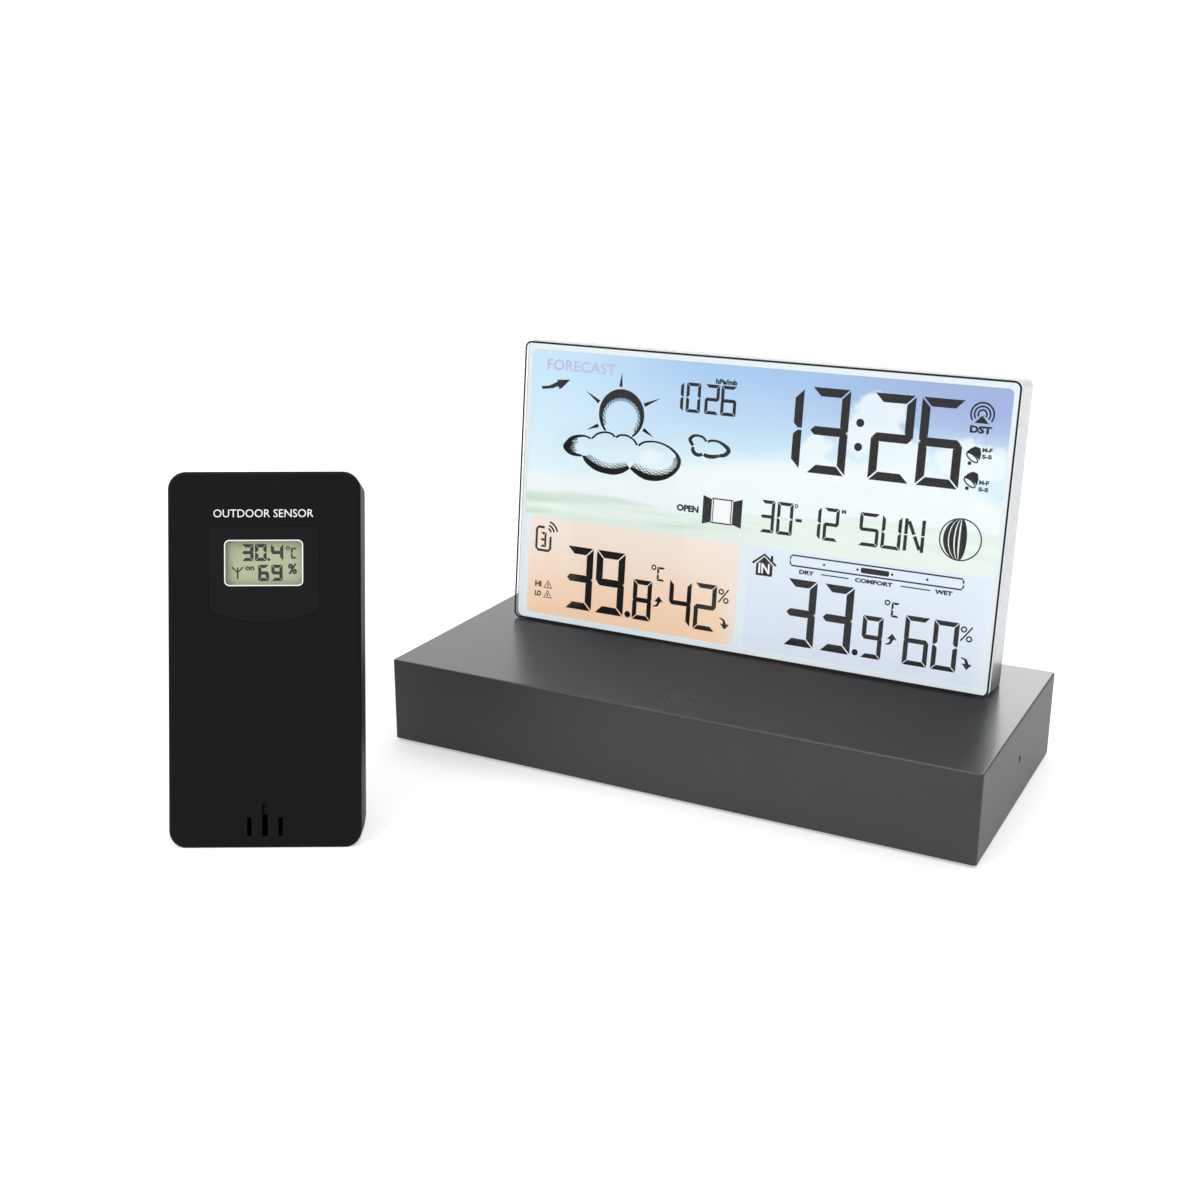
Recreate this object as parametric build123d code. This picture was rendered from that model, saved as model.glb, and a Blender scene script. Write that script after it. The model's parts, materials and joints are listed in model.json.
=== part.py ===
from build123d import *
import os
from math import cos, radians, sin, tan

# A desk weather station: a console with a clear display panel, and its wireless sensor.
# Millimetres, +Z up, the console's front facing -Y. The console and the sensor are each modelled
# about their own origin, then placed in the frame, whose origin is below the middle of the set.

# ---- placing in the frame ----
CONSOLE_AT = (16.63, 42.67)
SENSOR_AT = (-62.37, -74.29)
SENSOR_TURN = 28.5
SENSOR_LEAN = 18.2

# ---- console base ----
BASE_W = 180.0
BASE_D = 82.5
BASE_TOP = 26.4
FOOT = 0.9
WALL = 2.2
COVER_T = 3.0
COVER_TOP = FOOT + COVER_T
CEILING = BASE_TOP - WALL
END = BASE_W / 2
REAR = BASE_D / 2
REAR_IN = REAR - WALL
END_IN = END - WALL
SLIP = 0.15

# ---- display panel, about the line where its front face meets the base's top ----
PANEL_Y = 10.3
PANEL_LEAN = 6.6
PANEL_W = 156.0
PANEL_H = 89.6
PANEL_T = 13.0
PANEL_R = 2.3
LENS_T = 2.0
PRINT_GAP = 0.25
POLISH = 0.3
TONGUE_W = 146.0
TONGUE_H = 5.5
CELL_W = 151.0
CELL_LOW = 2.4
CELL_HIGH = 87.4
RIBBON_W = 60.0

# ---- AAA cells of both battery trays ----
CELL_R = 5.25
CELL_L = 44.5
NUB_L = 1.2
NUB_R = 1.9
PITCH = 11.4

# ---- console battery tray ----
TRAY_X = 26.6
TRAY_Y0 = 2.6
TRAY_Y1 = 37.4
TRAY_TOP = 14.0
TRAY_T = 1.2
CELL_ROWS = [20.0 + PITCH * row for row in (-1, 0, 1)]
CELL_SIDES = [1, -1, 1]
CELL_MID = 1.85
CELL_Z = 8.5
DOOR_T = 1.95
DOOR_LIP = 28.0

# ---- fixings ----
CORNERS = [(x, y) for x in (-80.0, 80.0) for y in (-32.0, 32.0)]
FEET = [(x, y) for x in (-68.0, 68.0) for y in (-32.0, 32.0)]
FOOT_R = 6.0
BOARD_Z = 13.0
BOARD_T = 1.6
BOARD_FIX = [(x, y) for x in (-56.0, 56.0) for y in (-33.0, -4.0)]
BRACKET_FIX = [(-80.5, 17.0), (80.5, 17.0)]
FERRITE_Y = -31.0
FERRITE_Z = 8.4
FERRITE_R = 3.8
SOUNDER_AT = (-46.0, -16.0)
SOUNDER_R = 10.5
ROOM_BOARD_X = -83.1

# ---- rear keys and switches ----
KEY_X = [-50.0, -30.0, -10.0, 10.0, 30.0, 50.0]
KEY_NAMES = ["mode", "alarm", "down", "up", "channel", "unit"]
KEY_Z = 19.8
KEY_W = 12.0
KEY_H = 5.6
KEY_GAP = 0.3
KEY_OUT = 1.0
KEY_BOARD_Y = 31.5
DIMMER_X = -66.0
SOCKET_X = 68.0
SOCKET_Z = 14.5
RESET_Y = 1.2
RESET_Z = 14.2
TOUCH_Y = -32.0

# ---- sensor, about the middle of its front bottom edge, standing upright ----
CASE_W = 51.0
CASE_H = 99.6
CASE_D = 21.0
CASE_R = 4.8
CASE_T = 1.8
DRAFT = 4.5
SPLIT = 11.0
PLATE_W = 29.2
PLATE_TOP = 85.0
PLATE_SIDE = 62.8
PLATE_LOW = 59.6
PLATE_T = 0.7
WIN_W = 20.6
WIN_Z0 = 69.4
WIN_Z1 = 81.3
VENT_Z = 3.3
VENTS = [(-4.1, 1.2, 8.2), (0.0, 1.5, 11.7), (4.1, 1.2, 8.2)]
SB_Y = 6.0
SB_T = 1.2
TRAY_BACK = CASE_D - CASE_T
PARTING_Y0 = 7.4
PARTING_Y1 = 8.2
BAY_X = 16.2
BAY_Z0 = 40.2
BAY_Z1 = 92.2
SCELL_X = [-10.7, 0.0]
SCELL_Y = 13.6
PIVOT_Y = 19.0
PIVOT_Z = 33.0
LEG_OPEN = 32.4
LEG_L = 26.0
LEG_T = 2.4
DOOR_Y = 19.2
DOOR_Z = 40.8
CONTROL_X = 11.4
SWITCH_Z = 72.0
BUTTON_Z = 54.0
CASE_FIX = [(x, z) for x in (-20.0, 20.0) for z in (14.0, 91.0)]


def block(x0, x1, y0, y1, z0, z1):
    return Pos((x0 + x1) / 2, (y0 + y1) / 2, (z0 + z1) / 2) * Box(x1 - x0, y1 - y0, z1 - z0)


def post(x, y, z0, z1, r):
    return Pos(x, y, (z0 + z1) / 2) * Cylinder(r, z1 - z0)


def rod_x(x0, x1, y, z, r):
    return Pos((x0 + x1) / 2, y, z) * Rot(0, 90, 0) * Cylinder(r, x1 - x0)


def rod_y(x, y0, y1, z, r):
    return Pos(x, (y0 + y1) / 2, z) * Rot(90, 0, 0) * Cylinder(r, y1 - y0)


def facing(sketch, y0, y1):
    """A flat sketch, x across and y up, thickened from y0 back to y1."""
    return Pos(0, y1, 0) * Rot(90, 0, 0) * extrude(sketch, y1 - y0)


def pill(x, z, w, h, y0, y1):
    return Pos(x, 0, z) * facing(RectangleRounded(w, h, h / 2 - 0.01), y0, y1)


def together(shapes):
    return Compound([solid for shape in shapes for solid in shape.solids()])


def fused(shapes):
    total = shapes[0]
    for shape in shapes[1:]:
        total = total + shape
    return total


def coil(r, wire, pitch, height):
    """A coil spring standing on z = 0."""
    path = Helix(pitch, height - 2 * wire, r, center=(0, 0, wire))
    return sweep(Plane(path @ 0, z_dir=path % 0) * Circle(wire), path, is_frenet=True)


def cross_slot(r, depth):
    """The cutter for a cross recess, its mouth on z = 0 and opening downwards."""
    arm = Box(1.6 * r, 0.32 * r, 2 * depth)
    return arm + Rot(0, 0, 90) * arm


def screw_up(x, y, z_head, z_seat, z_tip, r_head, r_shaft):
    """A cross-head screw driven upwards: head from z_head to z_seat, shaft to z_tip."""
    head = fillet(post(x, y, z_head, z_seat, r_head).edges().group_by(Axis.Z)[0], 0.35)
    screw = head + post(x, y, z_seat, z_tip, r_shaft)
    return screw - Pos(x, y, z_head) * cross_slot(r_head, 0.7)


# ---------------------------------------------------------------- console

def panel(shape):
    """Lean a shape drawn on the upright panel and stand it in the base."""
    return Pos(0, PANEL_Y, BASE_TOP) * Rot(-PANEL_LEAN, 0, 0) * shape


def panel_yz(y, z):
    """Where a point of the upright panel lies once leaned."""
    lean = radians(PANEL_LEAN)
    return (PANEL_Y + y * cos(lean) + z * sin(lean), BASE_TOP - y * sin(lean) + z * cos(lean))


def panel_outline():
    face = Pos(0, PANEL_H / 2) * RectangleRounded(PANEL_W, PANEL_H, PANEL_R)
    tongue = Pos(0, (4.0 - TONGUE_H) / 2) * Rectangle(TONGUE_W, 4.0 + TONGUE_H)
    return face + tongue


def make_base_housing():
    outer = extrude(RectangleRounded(BASE_W, BASE_D, 1.0), BASE_TOP - FOOT)
    outer = fillet(outer.faces().sort_by(Axis.Z)[-1].edges(), 0.6)
    inner = block(-END_IN, END_IN, -REAR_IN, REAR_IN, FOOT - 1, CEILING)
    shell = Pos(0, 0, FOOT) * outer - inner
    posts = [post(x, y, COVER_TOP + 0.05, CEILING + 0.5, 3.5) for x, y in CORNERS]
    posts += [post(x, y, BOARD_Z + BOARD_T, CEILING + 0.5, 3.0) for x, y in BOARD_FIX]
    posts += [post(x, y, 21.5, CEILING + 0.5, 3.2) for x, y in BRACKET_FIX]
    rails = [
        block(x - 1.2, x + 1.2, KEY_BOARD_Y - 1.5, KEY_BOARD_Y + 3.1, KEY_Z - 3, CEILING + 0.5)
        for x in (-73.5, 59.6)
    ]
    board_gap = block(-73.1, 59.4, KEY_BOARD_Y - 0.1, KEY_BOARD_Y + 1.7, 15.5, CEILING)
    shell = fused([shell] + posts + [rail - board_gap for rail in rails])
    slot = panel(block(-TONGUE_W / 2 - 0.2, TONGUE_W / 2 + 0.2, -0.2, PANEL_T + 0.2, -9, 3))
    cuts = [slot]
    cuts += [post(x, y, 0, 14, 1.25) for x, y in CORNERS]
    cuts += [post(x, y, BOARD_Z, 20, 1.0) for x, y in BOARD_FIX]
    cuts += [post(x, y, 20, 25, 1.0) for x, y in BRACKET_FIX]
    hole_w = KEY_W + 2 * KEY_GAP
    hole_h = KEY_H + 2 * KEY_GAP
    cuts += [pill(x, KEY_Z, hole_w, hole_h, REAR_IN - 1, REAR + 1) for x in KEY_X]
    cuts += [block(DIMMER_X - 4.6, DIMMER_X + 4.6, REAR_IN - 1, REAR + 1, KEY_Z - 1.9, KEY_Z + 1.9)]
    cuts += [rod_y(SOCKET_X, REAR_IN - 1, REAR + 1, SOCKET_Z, 4.5)]
    cuts += [rod_x(END_IN - 1, END + 1, RESET_Y, RESET_Z, 1.0)]
    cuts += [block(-DOOR_LIP - 0.2, DOOR_LIP + 0.2, REAR_IN - 1, REAR + 1, 0, COVER_TOP - 0.85)]
    cuts += [block(-END - 1, -END_IN + 1, y - 0.6, y + 0.6, 7, 15) for y in (-6, -3, 0, 3, 6)]
    for cut in cuts:
        shell = shell - cut
    return shell


def make_base_cover():
    w = END_IN - SLIP
    d = REAR_IN - SLIP
    cover = block(-w, w, -d, d, FOOT, COVER_TOP)
    tray = block(-TRAY_X - TRAY_T, TRAY_X + TRAY_T, TRAY_Y0 - TRAY_T, TRAY_Y1 + TRAY_T,
                 FOOT + 1, TRAY_TOP + TRAY_T)
    cover = cover + tray
    cover = cover - block(-TRAY_X, TRAY_X, TRAY_Y0, TRAY_Y1, 0, TRAY_TOP)
    cover = cover - block(-TRAY_X, TRAY_X, TRAY_Y1 - 1, REAR, 0, COVER_TOP - 0.85)
    cover = cover - block(-TRAY_X - 1.5, TRAY_X + 1.5, TRAY_Y0, REAR, FOOT + 1.0, FOOT + 2.0)
    ribs = [block(x - 0.75, x + 0.75, 28, 37, COVER_TOP - 1, 8.95) for x in (65.5, 70.5)]
    ribs += [block(80, 81.4, RESET_Y - 5, RESET_Y + 5, COVER_TOP - 1, RESET_Z + 3)]
    ribs += [block(ROOM_BOARD_X - 1.3, ROOM_BOARD_X - 0.1, -7, 7, COVER_TOP - 1, 8.5)]
    cradle = rod_x(-40, 50, FERRITE_Y, FERRITE_Z, FERRITE_R + 0.04)
    ribs += [block(x - 1, x + 1, FERRITE_Y - 5, FERRITE_Y + 5, COVER_TOP - 1, 8.0) - cradle
             for x in (-26, 36)]
    cover = fused([cover] + ribs)
    for x, y in FEET:
        cover = cover - post(x, y, 0, FOOT + 0.75, FOOT_R + 0.1)
    for x, y in CORNERS:
        cover = cover - post(x, y, 0, FOOT + 2.1, 3.1) - post(x, y, 0, COVER_TOP + 1, 1.5)
    for dx, dy in ((0, 0), (4, 0), (-4, 0), (0, 4), (0, -4)):
        cover = cover - post(SOUNDER_AT[0] + dx, SOUNDER_AT[1] + dy, 0, COVER_TOP + 1, 0.9)
    return cover


def make_battery_door():
    tongue_x = TRAY_X + 1.3
    door = block(-TRAY_X + 0.2, TRAY_X - 0.2, TRAY_Y0 + 0.2, REAR, FOOT, FOOT + DOOR_T)
    door = door + block(-tongue_x, tongue_x, TRAY_Y0 + 0.2, REAR_IN - 0.5, FOOT + 1.1, FOOT + 1.9)
    door = door + block(-DOOR_LIP, DOOR_LIP, REAR_IN + 0.05, REAR, FOOT, FOOT + DOOR_T)
    for step in range(4):
        y = 28.0 + 2.0 * step
        door = door - block(-9, 9, y, y + 0.9, 0, FOOT + 0.5)
    return door


def cell():
    """An AAA cell lying along +x from the middle of its length."""
    body = rod_x(-CELL_L / 2, CELL_L / 2 - NUB_L, 0, 0, CELL_R)
    body = fillet(body.edges(), 0.5)
    return body + rod_x(CELL_L / 2 - NUB_L - 0.1, CELL_L / 2, 0, 0, NUB_R)


def make_batteries():
    cells = []
    for y, side in zip(CELL_ROWS, CELL_SIDES):
        turn = 0 if side > 0 else 180
        cells.append(Pos(side * CELL_MID, y, CELL_Z) * Rot(0, 0, turn) * cell())
    return together(cells)


def make_battery_springs():
    length = TRAY_X - CELL_L / 2 + CELL_MID - 0.1
    spring = coil(3.2, 0.4, 1.7, length)
    springs = []
    for y, side in zip(CELL_ROWS, CELL_SIDES):
        springs.append(Pos(-side * (TRAY_X - 0.05), y, CELL_Z) * Rot(0, side * 90, 0) * spring)
    return together(springs)


def make_battery_contacts():
    plates = []
    for y, side in zip(CELL_ROWS, CELL_SIDES):
        plate = block(TRAY_X - 0.45, TRAY_X - 0.05, y - 4, y + 4, CELL_Z - 4, CELL_Z + 4)
        plate = plate + rod_x(CELL_MID + CELL_L / 2 + 0.03, TRAY_X - 0.4, y, CELL_Z, 2.4)
        plates.append(plate if side > 0 else Pos(0, 2 * y, 0) * Rot(0, 0, 180) * plate)
    return together(plates)


def make_base_screws():
    z = FOOT + 2.1
    return together([screw_up(x, y, FOOT + 0.3, z, 12.5, 2.8, 1.2) for x, y in CORNERS])


def make_rubber_feet():
    foot = Cylinder(FOOT_R, FOOT + 0.7, align=(Align.CENTER, Align.CENTER, Align.MIN))
    foot = fillet(foot.edges().group_by(Axis.Z)[0], 0.35)
    return together([Pos(x, y, 0) * foot for x, y in FEET])


def make_main_board():
    board = block(-62, 62, -37, 0.8, BOARD_Z, BOARD_Z + BOARD_T)
    for x, y in BOARD_FIX:
        board = board - post(x, y, 0, 20, 1.3)
    return board


def make_board_screws():
    return together([screw_up(x, y, BOARD_Z - 1.6, BOARD_Z, 19, 2.2, 0.95) for x, y in BOARD_FIX])


def make_controller_chips():
    top = BOARD_Z
    chips = [
        block(-18, -6, -24, -12, top - 1.4, top),
        block(10, 19, -23, -16, top - 1.2, top),
        block(-31, -26, -14, -8, top - 1.0, top),
    ]
    return together(chips)


def make_ribbon_socket():
    return block(-31, 31, -5.0, -1.2, BOARD_Z + BOARD_T, BOARD_Z + BOARD_T + 2.0)


def make_display_ribbon():
    t = 0.3
    y0, z0 = panel_yz(LENS_T + 0.45, CELL_LOW - 0.05)
    y1, z1 = panel_yz(LENS_T + 0.45, -TONGUE_H - 0.6)
    top = BOARD_Z + BOARD_T + 2.0
    path = Polyline((y0, z0), (y1, z1), (1.5, z1), (-3.0, top + 3.0), (-3.0, top + 0.16))
    side = Plane(origin=(-RIBBON_W / 2, 0, 0), x_dir=(0, 1, 0), z_dir=(1, 0, 0))
    return extrude(side * trace(path, t), RIBBON_W)


def make_radio_module():
    top = BOARD_Z + BOARD_T
    can = block(-49, -35, -29, -19, top + 0.8, top + 2.8)
    return block(-50, -34, -30, -18, top, top + 0.8) + fillet(can.edges().filter_by(Axis.Z), 0.8)


def make_ferrite_rod():
    return rod_x(-30, 40, FERRITE_Y, FERRITE_Z, FERRITE_R)


def make_ferrite_coil():
    winding = rod_x(-12, 20, FERRITE_Y, FERRITE_Z, FERRITE_R + 0.5)
    return winding - rod_x(-13, 21, FERRITE_Y, FERRITE_Z, FERRITE_R + 0.04)


def make_sounder():
    can = fillet(post(*SOUNDER_AT, COVER_TOP + 0.05, COVER_TOP + 4.6, SOUNDER_R).edges(), 0.5)
    return can - post(*SOUNDER_AT, COVER_TOP + 3, COVER_TOP + 6, 1.5)


def make_room_sensor():
    board = block(ROOM_BOARD_X, ROOM_BOARD_X + 1, -7, 7, COVER_TOP + 0.05, 15)
    return board + block(ROOM_BOARD_X - 1.5, ROOM_BOARD_X, -2.5, 2.5, 9.5, 13.5)


def make_touch_plate():
    return block(-9, 9, TOUCH_Y - 5, TOUCH_Y + 5, CEILING - 0.25, CEILING)


def make_touch_spring():
    z = BOARD_Z + BOARD_T + 0.02
    return Pos(0, TOUCH_Y, z) * coil(2.6, 0.3, 2.0, CEILING - 0.27 - z)


def make_key_board():
    return block(-73.0, 59.2, KEY_BOARD_Y, KEY_BOARD_Y + 1.6, 16.0, 23.9)


def make_tact_switches():
    back = KEY_BOARD_Y + 1.6
    switches = []
    for x in KEY_X:
        body = block(x - 3, x + 3, back, back + 2.7, KEY_Z - 3, KEY_Z + 3)
        switches.append(body + rod_y(x, back + 2.6, back + 3.2, KEY_Z, 1.6))
    return together(switches)


def make_key(x):
    cap = pill(x, KEY_Z, KEY_W, KEY_H, REAR_IN - 1.0, REAR + KEY_OUT)
    cap = fillet(cap.faces().sort_by(Axis.Y)[-1].edges(), 0.5)
    flange = block(x - KEY_W / 2 - 1.4, x + KEY_W / 2 + 1.4, REAR_IN - 1.5, REAR_IN - 0.1,
                   KEY_Z - KEY_H / 2 - 1.0, KEY_Z + KEY_H / 2 + 1.0)
    return cap + flange


def make_dimmer_switch():
    back = KEY_BOARD_Y + 1.6
    return block(DIMMER_X - 5, DIMMER_X + 5, back, back + 3.9, KEY_Z - 2.6, KEY_Z + 2.6)


def make_dimmer_knob():
    knob = block(DIMMER_X - 1.6, DIMMER_X + 1.6, REAR_IN - 1.0, REAR + 1.1, KEY_Z - 1.5, KEY_Z + 1.5)
    knob = fillet(knob.faces().sort_by(Axis.Y)[-1].edges(), 0.35)
    for dx in (-0.8, 0, 0.8):
        knob = knob - block(DIMMER_X + dx - 0.15, DIMMER_X + dx + 0.15, REAR + 0.8, REAR + 2, 0, 40)
    flange = block(DIMMER_X - 3, DIMMER_X + 3, REAR_IN - 1.6, REAR_IN - 0.3, KEY_Z - 2.9, KEY_Z + 2.9)
    return knob + flange


def make_power_socket():
    body = block(SOCKET_X - 4.5, SOCKET_X + 4.5, 26.9, REAR_IN - 0.05, SOCKET_Z - 5.5, SOCKET_Z + 5.5)
    body = body + rod_y(SOCKET_X, REAR_IN - 1, REAR - 0.2, SOCKET_Z, 4.2)
    return body - rod_y(SOCKET_X, REAR - 12.2, REAR + 1, SOCKET_Z, 1.8)


def make_reset_switch():
    body = block(81.45, 85.5, RESET_Y - 3, RESET_Y + 3, RESET_Z - 3, RESET_Z + 3)
    return body - rod_x(82.6, 86, RESET_Y, RESET_Z, 1.35)


def make_reset_button():
    return rod_x(83.4, END_IN - 0.35, RESET_Y, RESET_Z, 1.3)


def make_panel_bracket():
    bracket = block(-76, 76, 6.6, 26.6, 15.6, CEILING - 0.05)
    for side in (-1, 1):
        ear = block(75, 85, 12, 22, 19.4, 21.45)
        bracket = bracket + (ear if side > 0 else mirror(ear, Plane.YZ))
    bracket = bracket - panel(block(-73.3, 73.3, -0.3, PANEL_T + 0.3, -8.0, 6))
    low = panel_yz(0, -TONGUE_H - 0.6)[1]
    bracket = bracket - block(-31, 31, 0, 12, low - 0.9, low + 0.7)
    for x, y in BRACKET_FIX:
        bracket = bracket - post(x, y, 10, 25, 1.3)
    return bracket


def make_bracket_screws():
    return together([screw_up(x, y, 17.8, 19.4, 24.5, 2.4, 0.95) for x, y in BRACKET_FIX])


def make_light_board():
    return panel(block(-72.5, 72.5, 4.5, 12.8, -7.9, -6.9))


def make_light_lamps():
    lamps = []
    for step in range(12):
        x = -66 + 12 * step
        lamps.append(panel(block(x - 1.75, x + 1.75, 7.8, 10.6, -6.9, -5.75)))
    return together(lamps)


def seat(shape):
    """Lean a sheet of the panel and trim its lower shoulders to stand on the base's top."""
    shape = panel(shape)
    for side in (-1, 1):
        x0, x1 = sorted((side * TONGUE_W / 2, side * END))
        shape = shape - block(x0, x1, -10, 40, 0, BASE_TOP + 0.03)
    return shape


def make_light_guide():
    guide = facing(panel_outline(), LENS_T + PRINT_GAP, PANEL_T)
    guide = chamfer(guide.faces().sort_by(Axis.Y)[-1].edges(), POLISH)
    half = CELL_W / 2 + 0.3
    guide = guide - block(-half, half, 0, LENS_T + 3.3, CELL_LOW - 0.2, CELL_HIGH + 0.2)
    guide = guide - block(-RIBBON_W / 2 - 1, RIBBON_W / 2 + 1, 0, LENS_T + 1.0, -20, CELL_LOW)
    return seat(guide)


def make_front_sheet():
    sheet = facing(panel_outline(), 0, LENS_T)
    return seat(chamfer(sheet.faces().sort_by(Axis.Y)[0].edges(), POLISH))


def layer(y0, y1):
    return panel(block(-CELL_W / 2, CELL_W / 2, y0, y1, CELL_LOW, CELL_HIGH))


def make_display_cell():
    return layer(LENS_T + PRINT_GAP, LENS_T + 1.95)


def make_colour_film():
    return layer(LENS_T + 2.0, LENS_T + 2.3)


def make_diffuser_sheet():
    return layer(LENS_T + 2.35, LENS_T + 2.8)


def make_rear_reflector():
    return panel(facing(Pos(0, PANEL_H / 2 + 0.3) * RectangleRounded(CELL_W, PANEL_H - 4, 1.5),
                        PANEL_T, PANEL_T + 0.25))


# ---------------------------------------------------------------- sensor

LEAN_SLOPE = tan(radians(SENSOR_LEAN))


def above_foot(gap):
    """The half-space over the sensor's sloping foot, raised by gap."""
    lift = gap / cos(radians(SENSOR_LEAN))
    return Pos(0, 0, lift) * Rot(SENSOR_LEAN, 0, 0) * block(-100, 100, -200, 200, 0, 300)


def case_body():
    outline = Pos(0, CASE_H / 2) * RectangleRounded(CASE_W, CASE_H, CASE_R)
    body = Rot(90, 0, 0) * extrude(outline, -CASE_D, taper=DRAFT)
    body = fillet(body.faces().sort_by(Axis.Y)[0].edges(), 1.1)
    body = fillet(body.faces().sort_by(Axis.Y)[-1].edges(), 1.4)
    return body & above_foot(0)


def case_hollow():
    inset = 2 * CASE_T
    outline = Pos(0, CASE_H / 2) * RectangleRounded(CASE_W - inset, CASE_H - inset, CASE_R - CASE_T)
    hollow = Rot(90, 0, 0) * extrude(outline, -CASE_D + inset, taper=DRAFT)
    return Pos(0, CASE_T, 0) * hollow & above_foot(CASE_T)


def plate_outline(grow=0.0):
    half = PLATE_W / 2 + grow
    low = PLATE_LOW - grow
    side = PLATE_SIDE - grow
    top = PLATE_TOP + grow
    edge = [
        ThreePointArc((-half, side), (0, low), (half, side)),
        Line((half, side), (half, top)),
        Line((half, top), (-half, top)),
        Line((-half, top), (-half, side)),
    ]
    face = make_face(edge)
    return fillet(face.vertices().group_by(Axis.Y)[-1], 1.2)


def window_outline(grow=0.0):
    mid = (WIN_Z0 + WIN_Z1) / 2
    return Pos(0, mid) * RectangleRounded(WIN_W + 2 * grow, WIN_Z1 - WIN_Z0 + 2 * grow, 1.2 + grow)


def make_sensor_front():
    half = case_body() & block(-60, 60, -5, SPLIT - 0.05, -10, 120)
    shell = half - case_hollow()
    shell = fused([shell] + [rod_y(x, CASE_T - 0.5, SPLIT - 0.1, z, 2.25) for x, z in CASE_FIX])
    for x, z in CASE_FIX:
        shell = shell - rod_y(x, 4, SPLIT + 1, z, 1.0)
    shell = shell - facing(plate_outline(0.08), -1, PLATE_T)
    shell = shell - facing(window_outline(0.7), -1, CASE_T + 1)
    for x, w, top in VENTS:
        shell = shell - block(x - w / 2, x + w / 2, -1, CASE_T + 0.2, VENT_Z, top)
    return shell


def make_sensor_rear():
    half = case_body() & block(-60, 60, SPLIT + 0.05, 40, -10, 120)
    shell = half - case_hollow()
    bay = block(-BAY_X - 1.2, BAY_X + 1.2, PARTING_Y0, TRAY_BACK + 0.2, BAY_Z0 - 1.4, BAY_Z1 + 1.2)
    relief = block(-18.5, 18.5, 14.9, TRAY_BACK + 0.2, PIVOT_Z - 3.6, BAY_Z0)
    recess = block(-18.5, 18.5, 16.2, TRAY_BACK + 0.2, 0, PIVOT_Z) & case_hollow()
    tubes = [rod_y(x, SPLIT + 0.1, TRAY_BACK + 0.2, z, 3.0) for x, z in CASE_FIX]
    shell = fused([shell, bay, relief, recess] + tubes)
    cuts = [block(-BAY_X, BAY_X, PARTING_Y1, CASE_D + 1, BAY_Z0, BAY_Z1)]
    cuts += [block(-BAY_X, BAY_X, DOOR_Y - 1.6, CASE_D + 1, DOOR_Z - 2.4, BAY_Z1)]
    cuts += [rod_x(-BAY_X - 1.15, BAY_X + 1.15, DOOR_Y, DOOR_Z, 0.86)]
    cuts += [block(-17, 17, 17.5, CASE_D + 1, 0, PIVOT_Z)]
    cuts += [block(-17, 17, 16.15, CASE_D + 1, PIVOT_Z - 2.6, PIVOT_Z + 3.7)]
    cuts += [rod_x(-18.05, 18.05, PIVOT_Y, PIVOT_Z, 1.0)]
    for z, half_w, half_h in ((SWITCH_Z, 2.9, 5.0), (BUTTON_Z, 3.3, 3.3)):
        cuts += [block(CONTROL_X - half_w, CONTROL_X + half_w, PARTING_Y0 - 1, PARTING_Y1 + 1,
                       z - half_h, z + half_h)]
    for x, z in CASE_FIX:
        cuts += [rod_y(x, SPLIT, CASE_D + 1, z, 1.3), rod_y(x, SPLIT + 2.5, CASE_D + 1, z, 2.3)]
    for cut in cuts:
        shell = shell - cut
    return shell


def make_sensor_plate():
    plate = facing(plate_outline(), 0.1, PLATE_T)
    return plate - facing(window_outline(), -1, 2)


def make_sensor_window():
    return facing(window_outline(0.6), PLATE_T + 0.05, PLATE_T + 1.1)


def make_sensor_display():
    glass = block(-12.5, 12.5, CASE_T + 0.1, CASE_T + 2.3, WIN_Z0 - 3, WIN_Z1 + 2.5)
    return glass + block(-12, 12, CASE_T + 2, SB_Y - 0.03, WIN_Z0 - 2.5, WIN_Z1 + 2)


def make_sensor_board():
    return block(-17, 17, SB_Y, SB_Y + SB_T, 20, 88)


def make_sensor_probe():
    legs = [block(x - 0.25, x + 0.25, SB_Y - 1.2, SB_Y - 0.7, 12.4, 21.5) for x in (-1, 1)]
    bead = block(-2.2, 2.2, SB_Y - 2.0, SB_Y + 0.2, 8.5, 12.5)
    pads = block(-1.6, 1.6, SB_Y - 1.3, SB_Y - 0.02, 20.6, 22.6)
    return fused([bead, pads] + legs)


def make_sensor_cells():
    cells = []
    mid = (BAY_Z0 + BAY_Z1) / 2
    for x, side in zip(SCELL_X, (1, -1)):
        cells.append(Pos(x, SCELL_Y, mid + side * 1.9) * Rot(0, -90 * side, 0) * cell())
    return together(cells)


def make_sensor_springs():
    mid = (BAY_Z0 + BAY_Z1) / 2
    length = (BAY_Z1 - BAY_Z0) / 2 + 1.9 - CELL_L / 2 - 0.1
    spring = coil(3.0, 0.4, 1.7, length)
    low = Pos(SCELL_X[0], SCELL_Y, BAY_Z0 + 0.05) * spring
    high = Pos(SCELL_X[1], SCELL_Y, BAY_Z1 - 0.05) * Rot(180, 0, 0) * spring
    return together([low, high])


def make_sensor_contacts():
    reach = (BAY_Z0 + BAY_Z1) / 2 + 1.9 + CELL_L / 2 + 0.03
    x0, x1 = SCELL_X
    top = block(x0 - 4, x0 + 4, SCELL_Y - 4, SCELL_Y + 4, BAY_Z1 - 0.45, BAY_Z1 - 0.05)
    top = top + post(x0, SCELL_Y, reach, BAY_Z1 - 0.4, 2.3)
    low = block(x1 - 4, x1 + 4, SCELL_Y - 4, SCELL_Y + 4, BAY_Z0 + 0.05, BAY_Z0 + 0.45)
    low = low + post(x1, SCELL_Y, BAY_Z0 + 0.4, BAY_Z0 + BAY_Z1 - reach, 2.3)
    return together([top, low])


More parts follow.
